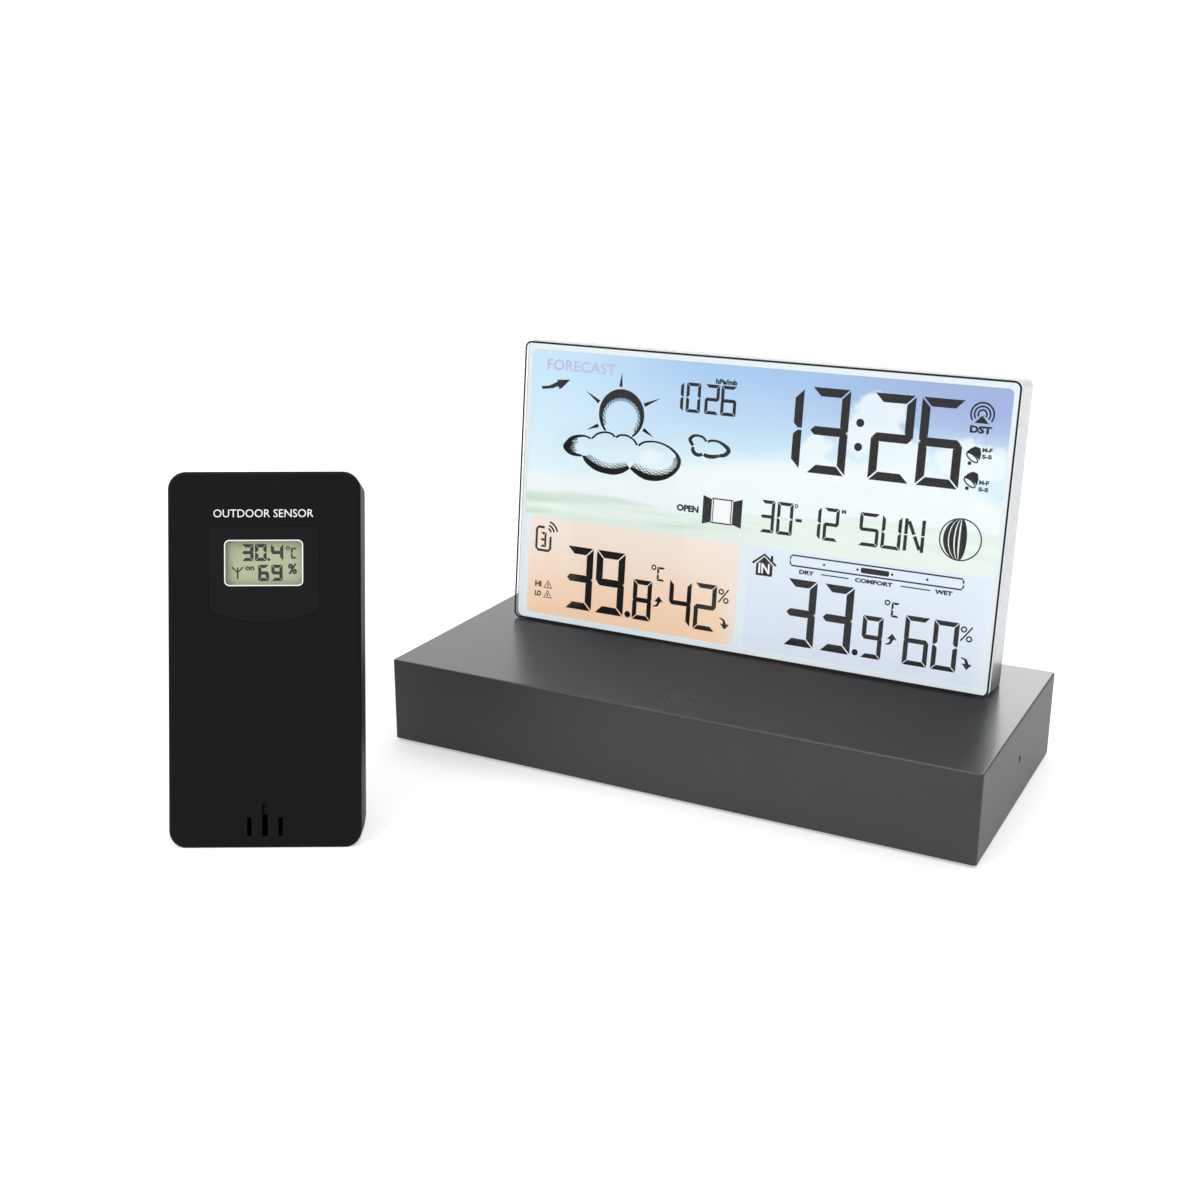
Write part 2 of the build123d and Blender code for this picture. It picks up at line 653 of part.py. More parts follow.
def make_sensor_door():
    half = BAY_X - 0.3
    door = block(-half, half, CASE_D - 1.6, CASE_D, DOOR_Z - 1.2, BAY_Z1 - 0.3)
    door = fillet(door.edges().filter_by(Axis.X).group_by(Axis.Z)[0], 0.6)
    for side in (-1, 1):
        x0, x1 = sorted((side * half, side * (half - 3)))
        lug = block(x0, x1, DOOR_Y, CASE_D - 1, DOOR_Z - 1.1, DOOR_Z + 1.6)
        lug = lug + rod_x(x0, x1, DOOR_Y, DOOR_Z, 1.5)
        p0, p1 = sorted((side * (half - 1), side * (BAY_X + 1.0)))
        door = door + lug + rod_x(p0, p1, DOOR_Y, DOOR_Z, 0.8)
    for step in range(4):
        z = BAY_Z1 - 5 - 1.6 * step
        door = door - block(-6, 6, CASE_D - 0.4, CASE_D + 1, z, z + 0.7)
    return door


def folded_leg():
    """The stand's leg, drawn folded flat against the sensor's back."""
    low = PIVOT_Z - LEG_L
    leg = block(-16.6, 16.6, PIVOT_Y - LEG_T / 2, PIVOT_Y + LEG_T / 2, low, PIVOT_Z + 3.2)
    leg = fillet(leg.edges().filter_by(Axis.Y).group_by(Axis.Z)[0], 3.0)
    leg = leg + rod_x(-16.6, 16.6, PIVOT_Y, PIVOT_Z, 2.2)
    leg = leg - block(-9.5, 9.5, 0, 40, low + 7, PIVOT_Z - 6)
    return leg - rod_x(-20, 20, PIVOT_Y, PIVOT_Z, 1.06)


def make_sensor_stand():
    """The leg swung out to where it stands, its tip trimmed to lie flat on the table."""
    to_pivot = Pos(0, PIVOT_Y, PIVOT_Z)
    return to_pivot * Rot(LEG_OPEN, 0, 0) * to_pivot.inverse() * folded_leg() & above_foot(0)


def make_sensor_pin():
    return rod_x(-18.0, 18.0, PIVOT_Y, PIVOT_Z, 1.0)


def make_sensor_screws():
    y = SPLIT + 2.5
    screws = []
    for x, z in CASE_FIX:
        head = rod_y(x, y, y + 1.6, z, 2.1)
        shaft = rod_y(x, 5.5, y, z, 0.95)
        slot = Pos(x, y + 1.6, z) * Rot(90, 0, 0) * cross_slot(2.1, 0.6)
        screws.append(head + shaft - slot)
    return together(screws)


def make_sensor_switches():
    y = SB_Y + SB_T
    slider = block(CONTROL_X - 2.6, CONTROL_X + 2.6, y, y + 3.4, SWITCH_Z - 4.6, SWITCH_Z + 4.6)
    push = block(CONTROL_X - 3, CONTROL_X + 3, y, y + 3.2, BUTTON_Z - 3, BUTTON_Z + 3)
    return together([slider, push - rod_y(CONTROL_X, y + 1.0, y + 4, BUTTON_Z, 1.8)])


def make_channel_knob():
    y = SB_Y + SB_T + 3.7
    knob = block(CONTROL_X - 1.2, CONTROL_X + 1.2, y, y + 2.4, SWITCH_Z - 1.2, SWITCH_Z + 1.2)
    return fillet(knob.faces().sort_by(Axis.Y)[-1].edges(), 0.3)


def make_send_button():
    y = SB_Y + SB_T
    return rod_y(CONTROL_X, y + 1.6, y + 4.6, BUTTON_Z, 1.5)


# ---------------------------------------------------------------- placing and writing

def console_place(shape):
    return Pos(CONSOLE_AT[0], CONSOLE_AT[1], 0) * shape


def sensor_place(shape):
    place = Pos(SENSOR_AT[0], SENSOR_AT[1], 0) * Rot(0, 0, SENSOR_TURN) * Rot(-SENSOR_LEAN, 0, 0)
    return place * shape


CONSOLE_NODES = {
    "base_housing": make_base_housing,
    "base_cover": make_base_cover,
    "battery_door": make_battery_door,
    "batteries": make_batteries,
    "battery_springs": make_battery_springs,
    "battery_contacts": make_battery_contacts,
    "base_screws": make_base_screws,
    "rubber_feet": make_rubber_feet,
    "main_board": make_main_board,
    "board_screws": make_board_screws,
    "controller_chips": make_controller_chips,
    "ribbon_socket": make_ribbon_socket,
    "display_ribbon": make_display_ribbon,
    "radio_module": make_radio_module,
    "ferrite_rod": make_ferrite_rod,
    "ferrite_coil": make_ferrite_coil,
    "sounder": make_sounder,
    "room_sensor": make_room_sensor,
    "touch_plate": make_touch_plate,
    "touch_spring": make_touch_spring,
    "key_board": make_key_board,
    "tact_switches": make_tact_switches,
    "dimmer_switch": make_dimmer_switch,
    "dimmer_knob": make_dimmer_knob,
    "power_socket": make_power_socket,
    "reset_switch": make_reset_switch,
    "reset_button": make_reset_button,
    "panel_bracket": make_panel_bracket,
    "bracket_screws": make_bracket_screws,
    "light_board": make_light_board,
    "light_lamps": make_light_lamps,
    "light_guide": make_light_guide,
    "front_sheet": make_front_sheet,
    "display_cell": make_display_cell,
    "colour_film": make_colour_film,
    "diffuser_sheet": make_diffuser_sheet,
    "rear_reflector": make_rear_reflector,
}

SENSOR_NODES = {
    "sensor_front": make_sensor_front,
    "sensor_rear": make_sensor_rear,
    "sensor_plate": make_sensor_plate,
    "sensor_window": make_sensor_window,
    "sensor_display": make_sensor_display,
    "sensor_board": make_sensor_board,
    "sensor_probe": make_sensor_probe,
    "sensor_cells": make_sensor_cells,
    "sensor_springs": make_sensor_springs,
    "sensor_contacts": make_sensor_contacts,
    "sensor_door": make_sensor_door,
    "sensor_stand": make_sensor_stand,
    "sensor_pin": make_sensor_pin,
    "sensor_screws": make_sensor_screws,
    "sensor_switches": make_sensor_switches,
    "channel_knob": make_channel_knob,
    "send_button": make_send_button,
}


def build_all():
    nodes = {name: console_place(make()) for name, make in CONSOLE_NODES.items()}
    for name, x in zip(KEY_NAMES, KEY_X):
        nodes[f"key_{name}"] = console_place(make_key(x))
    nodes.update({name: sensor_place(make()) for name, make in SENSOR_NODES.items()})
    return nodes


os.makedirs("parts", exist_ok=True)
for node, shape in build_all().items():
    export_step(shape, f"parts/{node}.step")
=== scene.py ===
import json
import math

import bpy
from mathutils import Matrix, Vector
from mathutils.geometry import tessellate_polygon


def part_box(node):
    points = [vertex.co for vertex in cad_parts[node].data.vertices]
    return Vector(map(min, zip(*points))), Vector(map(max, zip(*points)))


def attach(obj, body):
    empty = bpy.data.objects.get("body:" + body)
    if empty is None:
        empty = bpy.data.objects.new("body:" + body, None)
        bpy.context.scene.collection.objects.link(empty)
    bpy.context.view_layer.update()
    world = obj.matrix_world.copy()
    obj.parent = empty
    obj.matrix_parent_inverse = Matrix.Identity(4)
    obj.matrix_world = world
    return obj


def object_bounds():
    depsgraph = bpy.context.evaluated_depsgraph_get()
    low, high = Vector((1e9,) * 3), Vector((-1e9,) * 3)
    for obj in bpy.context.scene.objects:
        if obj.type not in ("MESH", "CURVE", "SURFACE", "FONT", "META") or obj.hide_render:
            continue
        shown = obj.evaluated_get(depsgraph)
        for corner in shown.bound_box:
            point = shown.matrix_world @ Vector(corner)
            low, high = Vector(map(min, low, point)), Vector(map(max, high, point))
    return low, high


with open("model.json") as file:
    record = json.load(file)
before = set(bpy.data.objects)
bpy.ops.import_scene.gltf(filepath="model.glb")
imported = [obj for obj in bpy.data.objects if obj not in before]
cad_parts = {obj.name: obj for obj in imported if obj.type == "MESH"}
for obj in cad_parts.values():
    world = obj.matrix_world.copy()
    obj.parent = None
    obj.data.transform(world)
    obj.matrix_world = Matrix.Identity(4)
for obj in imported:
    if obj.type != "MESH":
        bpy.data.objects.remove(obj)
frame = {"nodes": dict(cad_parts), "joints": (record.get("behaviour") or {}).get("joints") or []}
CAD_LOW, CAD_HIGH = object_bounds()
NODES = frame["nodes"]

# Lengths in millimetres, except MM itself, which turns them into the frame's metres.
MM = 0.001
CELL_LOW = 2.4          # the display cell's foot, up the panel from the base's top
PANEL_H = 89.6          # the panel's height over the base, along its slope
PANEL_R = 2.3           # its corner radius
TONGUE_W = 146.0        # the width of the panel's tongue in the base
PRINT_DEPTH = 2.25      # the front sheet's thickness, which lies over the display's prints
LAYER = 0.027           # from one print of the display to the next
PRINT = 0.02            # how proud a print stands of its surface
PIVOT_BACK = 19.0       # the sensor's stand pin, back from its front and up from its foot
PIVOT_UP = 33.0
SENSOR_CELL_OUT = -1.9  # the sensor's display, out from its front
CELL_LENGTH = 44.5      # a battery's length, and from one battery to the next
CELL_PITCH = 11.4

# ------------------------ places read from the frame


def furthest(node, *directions):
    """The CAD vertex furthest along the first direction; later directions settle ties."""
    def key(vertex):
        return [round(vertex.co.dot(Vector(d)), 6) for d in directions]
    return max(NODES[node].data.vertices, key=key).co.copy()


def drawing_plane(origin, right, up):
    """A matrix that takes (x, y, out) in millimetres to the frame."""
    right, up = right.normalized(), up.normalized()
    out = right.cross(up)
    turn = Matrix((right, up, out)).transposed().to_4x4()
    return Matrix.Translation(origin) @ turn @ Matrix.Scale(MM, 4)


def display_plane():
    """Millimetres across the panel from its left edge, and up it from the base's top."""
    corner = furthest("display_cell", (0, -1, 0), (-1, 0, 0))
    right = furthest("display_cell", (0, -1, 0), (1, 0, 0)) - corner
    up = furthest("display_cell", (0, 0, 1), (-1, 0, 0)) - corner
    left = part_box("front_sheet")[0].x
    start = Vector((left, corner.y, corner.z)) - up.normalized() * CELL_LOW * MM
    return drawing_plane(start, right, up)


def joint(name):
    return next(j for j in frame["joints"] if j["name"] == name)


def sensor_plane():
    """Millimetres across the sensor's front from its middle, and up from its front bottom edge."""
    fold = joint("sensor_stand_fold")
    right = Vector(fold["axis"])
    up = Vector(joint("channel_slide")["axis"])
    back = -Vector(joint("send_press")["axis"])
    back = back if back.dot(right.cross(up)) < 0 else -back
    start = Vector(fold["pos_m"]) - back * PIVOT_BACK * MM - up * PIVOT_UP * MM
    return drawing_plane(start, right, up)


PANEL_W = (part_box("front_sheet")[1].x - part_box("front_sheet")[0].x) / MM
DISPLAY = display_plane()
SENSOR = sensor_plane()
SENSOR_RIGHT = SENSOR.to_3x3().col[0]
SENSOR_UP = SENSOR.to_3x3().col[1]
BASE_LOW, BASE_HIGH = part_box("base_housing")
BASE_MID = (BASE_LOW + BASE_HIGH) / 2
FRAME_MID = (CAD_LOW + CAD_HIGH) / 2

# ------------------------ flat outlines, in millimetres


def disc(cx, cy, r, steps=32):
    return [(cx + r * math.cos(2 * math.pi * i / steps), cy + r * math.sin(2 * math.pi * i / steps))
            for i in range(steps)]


def arc_points(cx, cy, r, start, end, steps=24):
    turns = [math.radians(start + (end - start) * i / steps) for i in range(steps + 1)]
    return [(cx + r * math.cos(t), cy + r * math.sin(t)) for t in turns]


def rounded_box(x0, x1, y0, y1, r, steps=6):
    corners = ((x1 - r, y0 + r, -90), (x1 - r, y1 - r, 0), (x0 + r, y1 - r, 90), (x0 + r, y0 + r, 180))
    return [p for cx, cy, a in corners for p in arc_points(cx, cy, r, a, a + 90, steps)]


def band(points, width, closed=False, inside=0.5):
    """A stroke along the points as four-sided pieces. width is a number or one for each point, and
    inside is the share of it to the left of the line."""
    n = len(points)
    widths = width if isinstance(width, list) else [width] * n
    sides = []
    for i, (x, y) in enumerate(points):
        ahead = points[(i + 1) % n] if closed or i < n - 1 else (x, y)
        behind = points[i - 1] if closed or i > 0 else (x, y)
        along = Vector((ahead[0] - behind[0], ahead[1] - behind[1]))
        along = along.normalized() if along.length > 1e-9 else Vector((1, 0))
        left = Vector((-along.y, along.x)) * widths[i] * inside
        right = Vector((along.y, -along.x)) * widths[i] * (1 - inside)
        sides.append(((x + left.x, y + left.y), (x + right.x, y + right.y)))
    last = n if closed else n - 1
    return [[sides[i][0], sides[i][1], sides[(i + 1) % n][1], sides[(i + 1) % n][0]] for i in range(last)]


def ring(cx, cy, r, width, start=0, end=360):
    if end - start >= 360:
        return band(disc(cx, cy, r, 40), width, closed=True)
    return band(arc_points(cx, cy, r, start, end), width)


def frame_line(x0, x1, y0, y1, r, width):
    return band(rounded_box(x0, x1, y0, y1, r), width, closed=True)


def spline(points, steps=6):
    """A smooth line through the points, open at both ends. A third value is carried along."""
    ends = [points[0]] + points + [points[-1]]
    line = []
    for a, b, c, d in zip(ends, ends[1:], ends[2:], ends[3:]):
        for i in range(steps):
            t = i / steps
            line.append(tuple(
                0.5 * (2 * b[k] + (c[k] - a[k]) * t + (2 * a[k] - 5 * b[k] + 4 * c[k] - d[k]) * t * t
                       + (3 * b[k] - a[k] - 3 * c[k] + d[k]) * t ** 3) for k in range(len(b))))
    return line + [points[-1]]


# Which bars of a seven-bar digit are lit, named a to g from the top round to the middle.
BARS = {
    "0": "abcdef", "1": "bc", "2": "abged", "3": "abgcd", "4": "fgbc", "5": "afgcd", "6": "afgedc",
    "8": "abcdefg", "9": "abcdfg", "C": "afed", "S": "afgcd", "U": "bcdef", "-": "g",
}


def bar_digit(char, x0, x1, y0, y1, t):
    """One liquid-crystal digit: mitred bars with a hair's gap between them."""
    e = 0.12 * t
    ym = (y0 + y1) / 2
    h = t / 2
    shapes = {
        "a": [(x0 + e, y1), (x1 - e, y1), (x1 - e - t, y1 - t), (x0 + e + t, y1 - t)],
        "d": [(x0 + e, y0), (x1 - e, y0), (x1 - e - t, y0 + t), (x0 + e + t, y0 + t)],
        "g": [(x0 + e + h, ym + h), (x1 - e - h, ym + h), (x1 - e, ym), (x1 - e - h, ym - h),
              (x0 + e + h, ym - h), (x0 + e, ym)],
        "b": [(x1, y1 - e), (x1, ym + e), (x1 - h, ym + e), (x1 - t, ym + e + h), (x1 - t, y1 - e - t)],
        "c": [(x1, y0 + e), (x1, ym - e), (x1 - h, ym - e), (x1 - t, ym - e - h), (x1 - t, y0 + e + t)],
        "f": [(x0, y1 - e), (x0, ym + e), (x0 + h, ym + e), (x0 + t, ym + e + h), (x0 + t, y1 - e - t)],
        "e": [(x0, y0 + e), (x0, ym - e), (x0 + h, ym - e), (x0 + t, ym - e - h), (x0 + t, y0 + e + t)],
    }
    return [shapes[bar] for bar in BARS[char]]


def letters(text, x0, x1, y0, y1, bold=0.0):
    """Words in Blender's own typeface, fitted to a box, their outlines grown by bold."""
    curve = bpy.data.curves.new("words", "FONT")
    curve.body = text
    curve.offset = bold
    curve.resolution_u = 3
    piece = bpy.data.objects.new("words", curve)
    bpy.context.scene.collection.objects.link(piece)
    bpy.context.view_layer.update()
    mesh = bpy.data.meshes.new_from_object(piece)
    xs = [v.co.x for v in mesh.vertices]
    ys = [v.co.y for v in mesh.vertices]
    sx = (x1 - x0) / (max(xs) - min(xs))
    sy = (y1 - y0) / (max(ys) - min(ys))
    points = [(x0 + (v.co.x - min(xs)) * sx, y0 + (v.co.y - min(ys)) * sy) for v in mesh.vertices]
    faces = [[points[i] for i in polygon.vertices] for polygon in mesh.polygons]
    bpy.data.objects.remove(piece)
    bpy.data.curves.remove(curve)
    bpy.data.meshes.remove(mesh)
    return faces


def flat_piece(name, shapes, plane, lift, material, body):
    """All the shapes as one thin print, lift millimetres proud of the plane."""
    vertices = []
    faces = []
    for shape in shapes:
        start = len(vertices)
        vertices += [plane @ Vector((x, y, lift)) for x, y in shape]
        if len(shape) <= 4:
            faces.append(tuple(range(start, start + len(shape))))
            continue
        for triangle in tessellate_polygon([[Vector((x, y, 0)) for x, y in shape]]):
            faces.append(tuple(start + i for i in triangle))
    mesh = bpy.data.meshes.new(name)
    mesh.from_pydata(vertices, [], faces)
    flip_to(mesh, plane.to_3x3().col[2])
    piece = bpy.data.objects.new(name, mesh)
    bpy.context.scene.collection.objects.link(piece)
    mesh.materials.append(material)
    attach(piece, body)
    return piece


def flip_to(mesh, out):
    """Turn every face that looks away from out."""
    mesh.update()
    for polygon in mesh.polygons:
        if polygon.normal.dot(out) < 0:
            polygon.flip()
    mesh.update()


# ------------------------ materials


def srgb(r, g, b):
    """A screen colour, 0 to 255, as linear light."""
    def one(c):
        c = c / 255
        return c / 12.92 if c <= 0.04045 else ((c + 0.055) / 1.055) ** 2.4
    return (one(r), one(g), one(b), 1.0)


class Look:
    """A node material with a Principled shader, and short ways to add nodes to it."""

    def __init__(self, name, roughness=0.5, metallic=0.0, specular=0.5):
        self.material = bpy.data.materials.new(name)
        self.material.use_nodes = True
        self.nodes = self.material.node_tree.nodes
        self.links = self.material.node_tree.links
        self.shader = self.nodes["Principled BSDF"]
        self.shader.inputs["Roughness"].default_value = roughness
        self.shader.inputs["Metallic"].default_value = metallic
        self.shader.inputs["Specular IOR Level"].default_value = specular
        self.place = self.nodes.new("ShaderNodeTexCoord").outputs["Object"]

    def feed(self, socket, value):
        if hasattr(value, "is_linked"):
            self.links.new(value, socket)
        else:
            socket.default_value = value

    def node(self, kind, inputs=(), **settings):
        made = self.nodes.new(kind)
        for key, value in settings.items():
            setattr(made, key, value)
        for key, value in dict(inputs).items():
            self.feed(made.inputs[key], value)
        return made

    def math(self, operation, a, b=0.0, c=0.0):
        made = self.node("ShaderNodeMath", {0: a, 1: b, 2: c}, operation=operation)
        return made.outputs[0]

    def dot(self, vector, direction):
        made = self.node("ShaderNodeVectorMath", {0: vector, 1: direction}, operation="DOT_PRODUCT")
        return made.outputs["Value"]

    def noise(self, scale, detail=3.0, roughness=0.5, stretch=(1, 1, 1), place=None):
        place = self.node("ShaderNodeMapping", {"Vector": place or self.place, "Scale": stretch})
        made = self.node("ShaderNodeTexNoise", {
            "Vector": place.outputs[0], "Scale": scale, "Detail": detail, "Roughness": roughness})
        return made.outputs[0]

    def wave(self, scale, axis="X", distortion=0.0):
        made = self.node("ShaderNodeTexWave", {
            "Vector": self.place, "Scale": scale, "Distortion": distortion}, bands_direction=axis)
        return made.outputs[1]

    def ramp(self, factor, stops):
        made = self.node("ShaderNodeValToRGB", {"Fac": factor})
        elements = made.color_ramp.elements
        while len(elements) < len(stops):
            elements.new(0.5)
        for element, (at, colour) in zip(elements, stops):
            element.position = at
            element.color = colour
        return made.outputs[0]

    def mix(self, factor, a, b):
        made = self.node("ShaderNodeMix", {0: factor, 6: a, 7: b}, data_type="RGBA")
        return made.outputs[2]

    def span(self, value, low, high):
        made = self.node("ShaderNodeMapRange", {"Value": value, "To Min": low, "To Max": high})
        return made.outputs[0]

    def step(self, value, edge, soft):
        limits = {"Value": value, "From Min": edge - soft, "From Max": edge + soft}
        made = self.node("ShaderNodeMapRange", limits, interpolation_type="SMOOTHSTEP")
        return made.outputs[0]

    def colour(self, value):
        self.feed(self.shader.inputs["Base Color"], value)

    def rough(self, value):
        self.feed(self.shader.inputs["Roughness"], value)

    def bump(self, height, strength, distance=0.0001):
        made = self.node("ShaderNodeBump", {"Height": height, "Strength": strength, "Distance": distance})
        self.links.new(made.outputs[0], self.shader.inputs["Normal"])

    def clear(self, ior):
        self.shader.inputs["Transmission Weight"].default_value = 1.0
        self.shader.inputs["IOR"].default_value = ior


def moulded(name, colour, shade, rough, grain=2600.0, bump=0.25, specular=0.5):
    """Moulded plastic: a slight mottle in colour, a fine spark-eroded grain and uneven sheen."""
    look = Look(name, specular=specular)
    cloud = look.noise(55.0, 4.0)
    look.colour(look.mix(cloud, srgb(*colour), srgb(*shade)))
    fine = look.noise(grain, 2.0, 0.6)
    patchy = look.math("ADD", look.math("MULTIPLY", fine, 0.6), look.math("MULTIPLY", cloud, 0.4))
    look.rough(look.span(patchy, rough[0], rough[1]))
    look.bump(fine, bump, 0.00004)
    return look.material


def metal(name, colour, shade, rough, stretch=(1, 1, 1), scale=900.0):
    """Plated or drawn metal: streaks along the length and small stains."""
    look = Look(name, metallic=1.0)
    streak = look.noise(scale, 3.0, 0.6, stretch)
    stain = look.noise(140.0, 3.0)
    look.colour(look.mix(stain, srgb(*colour), srgb(*shade)))
    look.rough(look.span(streak, rough[0], rough[1]))
    look.bump(streak, 0.2, 0.00003)
    return look.material


def circuit_board():
    """Green solder mask over copper tracks, with a weave showing through."""
    look = Look("board_green", roughness=0.35)
    tracks = look.node("ShaderNodeTexBrick", {
        "Vector": look.place, "Scale": 95.0, "Mortar Size": 0.012, "Mortar Smooth": 0.1,
        "Color1": srgb(20, 78, 46), "Color2": srgb(26, 92, 54), "Mortar": srgb(52, 128, 78)})
    weave = look.noise(1500.0, 2.0)
    look.colour(look.mix(look.math("MULTIPLY", weave, 0.35), tracks.outputs[0], srgb(12, 52, 32)))
    look.rough(look.span(weave, 0.28, 0.42))
    look.bump(tracks.outputs[1], 0.3, 0.00005)
    return look.material


def cell_jacket(name, node, along, across, rows):
    """Printed films of cells that lie turn and turn about: dark, with a copper-coloured positive end."""
    look = Look(name, roughness=0.28)
    low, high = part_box(node)
    spot = look.node("ShaderNodeVectorMath", {0: look.place, 1: (low + high) / 2}, operation="SUBTRACT")
    run = look.dot(spot.outputs[0], along.normalized() / (CELL_LENGTH * MM))
    side = look.dot(spot.outputs[0], across.normalized() / (CELL_PITCH * MM))
    if rows == 3:
        side = look.math("SUBTRACT", look.math("ABSOLUTE", side), 0.5)
    pole = look.math("MULTIPLY", look.math("SIGN", side), run)
    jacket = look.ramp(look.math("ADD", pole, 0.5), [
        (0.0, srgb(30, 42, 60)), (0.655, srgb(36, 50, 70)),
        (0.66, srgb(210, 212, 214)), (0.68, srgb(210, 212, 214)),
        (0.685, srgb(176, 112, 62)), (1.0, srgb(188, 124, 70))])
    scuff = look.noise(420.0, 4.0)
    film = look.mix(look.math("MULTIPLY", scuff, 0.25), jacket, srgb(90, 92, 96))
    normal = look.node("ShaderNodeNewGeometry").outputs["Normal"]
    bare = look.step(look.math("ABSOLUTE", look.dot(normal, along.normalized())), 0.8, 0.05)
    look.colour(look.mix(bare, film, srgb(205, 205, 202)))
    look.rough(look.span(scuff, 0.2, 0.38))
    return look.material


def winding():
    """Enamelled wire wound close, its turns standing up as ridges."""
    look = Look("copper", roughness=0.3, metallic=1.0)
    turns = look.wave(620.0, "X")
    look.colour(look.mix(turns, srgb(96, 48, 26), srgb(206, 124, 74)))
    look.rough(look.span(look.noise(500.0), 0.25, 0.4))
    look.bump(turns, 0.6, 0.0001)
    return look.material


def ribbon_film():
    """Amber film with parallel conductors."""
    look = Look("ribbon", roughness=0.3)
    tracks = look.wave(320.0, "X")
    look.colour(look.mix(look.step(tracks, 0.5, 0.1), srgb(168, 104, 40), srgb(206, 150, 78)))
    look.rough(look.span(look.noise(300.0), 0.22, 0.4))
    look.bump(tracks, 0.3, 0.00004)
    return look.material


def front_film():
    """The front sheet: seen through, with a clear gloss that strengthens at a slant."""
    look = Look("clear_front", roughness=0.03)
    see_through = look.node("ShaderNodeBsdfTransparent", {"Color": (0.985, 0.992, 0.995, 1.0)}).outputs[0]
    wipe = look.noise(200.0, 3.0, 0.6, (1, 5, 1))
    sheen = look.span(wipe, 0.02, 0.07)
    gloss = look.node("ShaderNodeBsdfGlossy", {"Color": (1, 1, 1, 1), "Roughness": sheen})
    weight = look.math("MULTIPLY", look.node("ShaderNodeFresnel", {"IOR": 1.45}).outputs[0], 0.3)
    both = look.node("ShaderNodeMixShader", {0: weight, 1: see_through, 2: gloss.outputs[0]})
    look.links.new(both.outputs[0], look.nodes["Material Output"].inputs["Surface"])
    return look.material


def base_plastic():
    """The base's dark shell: fine-grained sides and a coated, glossy top whose colour is painted shade,
    much darker and bluer than the sides.
    """
    look = Look("base_shell", specular=0.25)
    cloud = look.noise(55.0, 4.0)
    fine = look.noise(3200.0, 2.0, 0.6)
    normal = look.node("ShaderNodeNewGeometry").outputs["Normal"]
    up = look.node("ShaderNodeSeparateXYZ", {"Vector": normal}).outputs[2]
    # Upward faces: the top's real clear coat and gloss, and its painted shade colour.
    polished_top_and_painted_shade = look.step(up, 0.9, 0.08)
    sides = look.mix(cloud, srgb(51, 51, 53), srgb(57, 57, 59))
    # Painted shade: the top is coloured much darker and bluer than the sides.
    top = look.mix(cloud, srgb(13, 16, 20), srgb(18, 21, 25))
    look.colour(look.mix(polished_top_and_painted_shade, sides, top))
    look.rough(look.mix(polished_top_and_painted_shade, look.span(fine, 0.36, 0.46), look.span(cloud, 0.26, 0.34)))
    look.feed(look.shader.inputs["Coat Weight"], polished_top_and_painted_shade)
    look.shader.inputs["Coat Roughness"].default_value = 0.22
    look.shader.inputs["Coat IOR"].default_value = 1.6
    look.bump(fine, 0.12, 0.00003)
    return look.material


def guide_plastic():
    """The light guide: clear plastic with a milky haze, and painted shade in a grey band along its foot."""
    look = Look("clear", roughness=0.2)
    look.shader.inputs["Transmission Weight"].default_value = 0.5
    look.shader.inputs["IOR"].default_value = 1.49
    haze = look.noise(35.0, 2.0)
    tint = look.mix(haze, srgb(240, 243, 245), srgb(230, 234, 237))
    rise = look.node("ShaderNodeSeparateXYZ", {"Vector": look.place}).outputs[2]
    # Painted shade: grey up to a little over the base's top, for the dark base seen through the guide.
    above_painted_base_shade = look.step(rise, BASE_HIGH.z + 7.0 * MM, 5.0 * MM)
    look.colour(look.mix(above_painted_base_shade, srgb(120, 122, 124), tint))
    look.rough(look.span(look.noise(260.0, 3.0, 0.6, (1, 4, 1)), 0.12, 0.3))
    return look.material


def lit(look, colour, share=0.63):
    """A surface that is printed in a colour and lit from behind in the same colour."""
    look.colour(look.mix(0.6, colour, (0.0, 0.0, 0.0, 1.0)))
    look.feed(look.shader.inputs["Emission Color"], colour)
    look.shader.inputs["Emission Strength"].default_value = share


def lit_plain(name, colour, shade, share=0.63):
    look = Look(name, roughness=0.5, specular=0.2)
    soft = look.noise(60.0, 3.0)
    lit(look, look.mix(soft, srgb(*colour), srgb(*shade)), share)
    return look.material


SKY = [
    # share across the panel; then (share up the panel, colour) from the foot to the head
    (0.03, [(0.50, (242, 252, 254)), (0.56, (228, 246, 253)), (0.65, (217, 241, 249)),
            (0.80, (208, 234, 251)), (0.92, (198, 229, 248)), (1.0, (206, 230, 245))]),
    (0.45, [(0.60, (240, 250, 253)), (0.66, (222, 239, 246)), (0.70, (205, 230, 245)),
            (0.78, (190, 218, 243)), (0.86, (182, 210, 240)), (0.94, (165, 201, 238)),
            (1.0, (166, 198, 232))]),
    (0.97, [(0.62, (218, 239, 249)), (0.72, (220, 240, 248)), (0.77, (208, 226, 241)),
            (0.80, (188, 210, 236)), (0.84, (168, 190, 227)), (0.90, (161, 178, 223)),
            (1.0, (157, 176, 215))]),
]
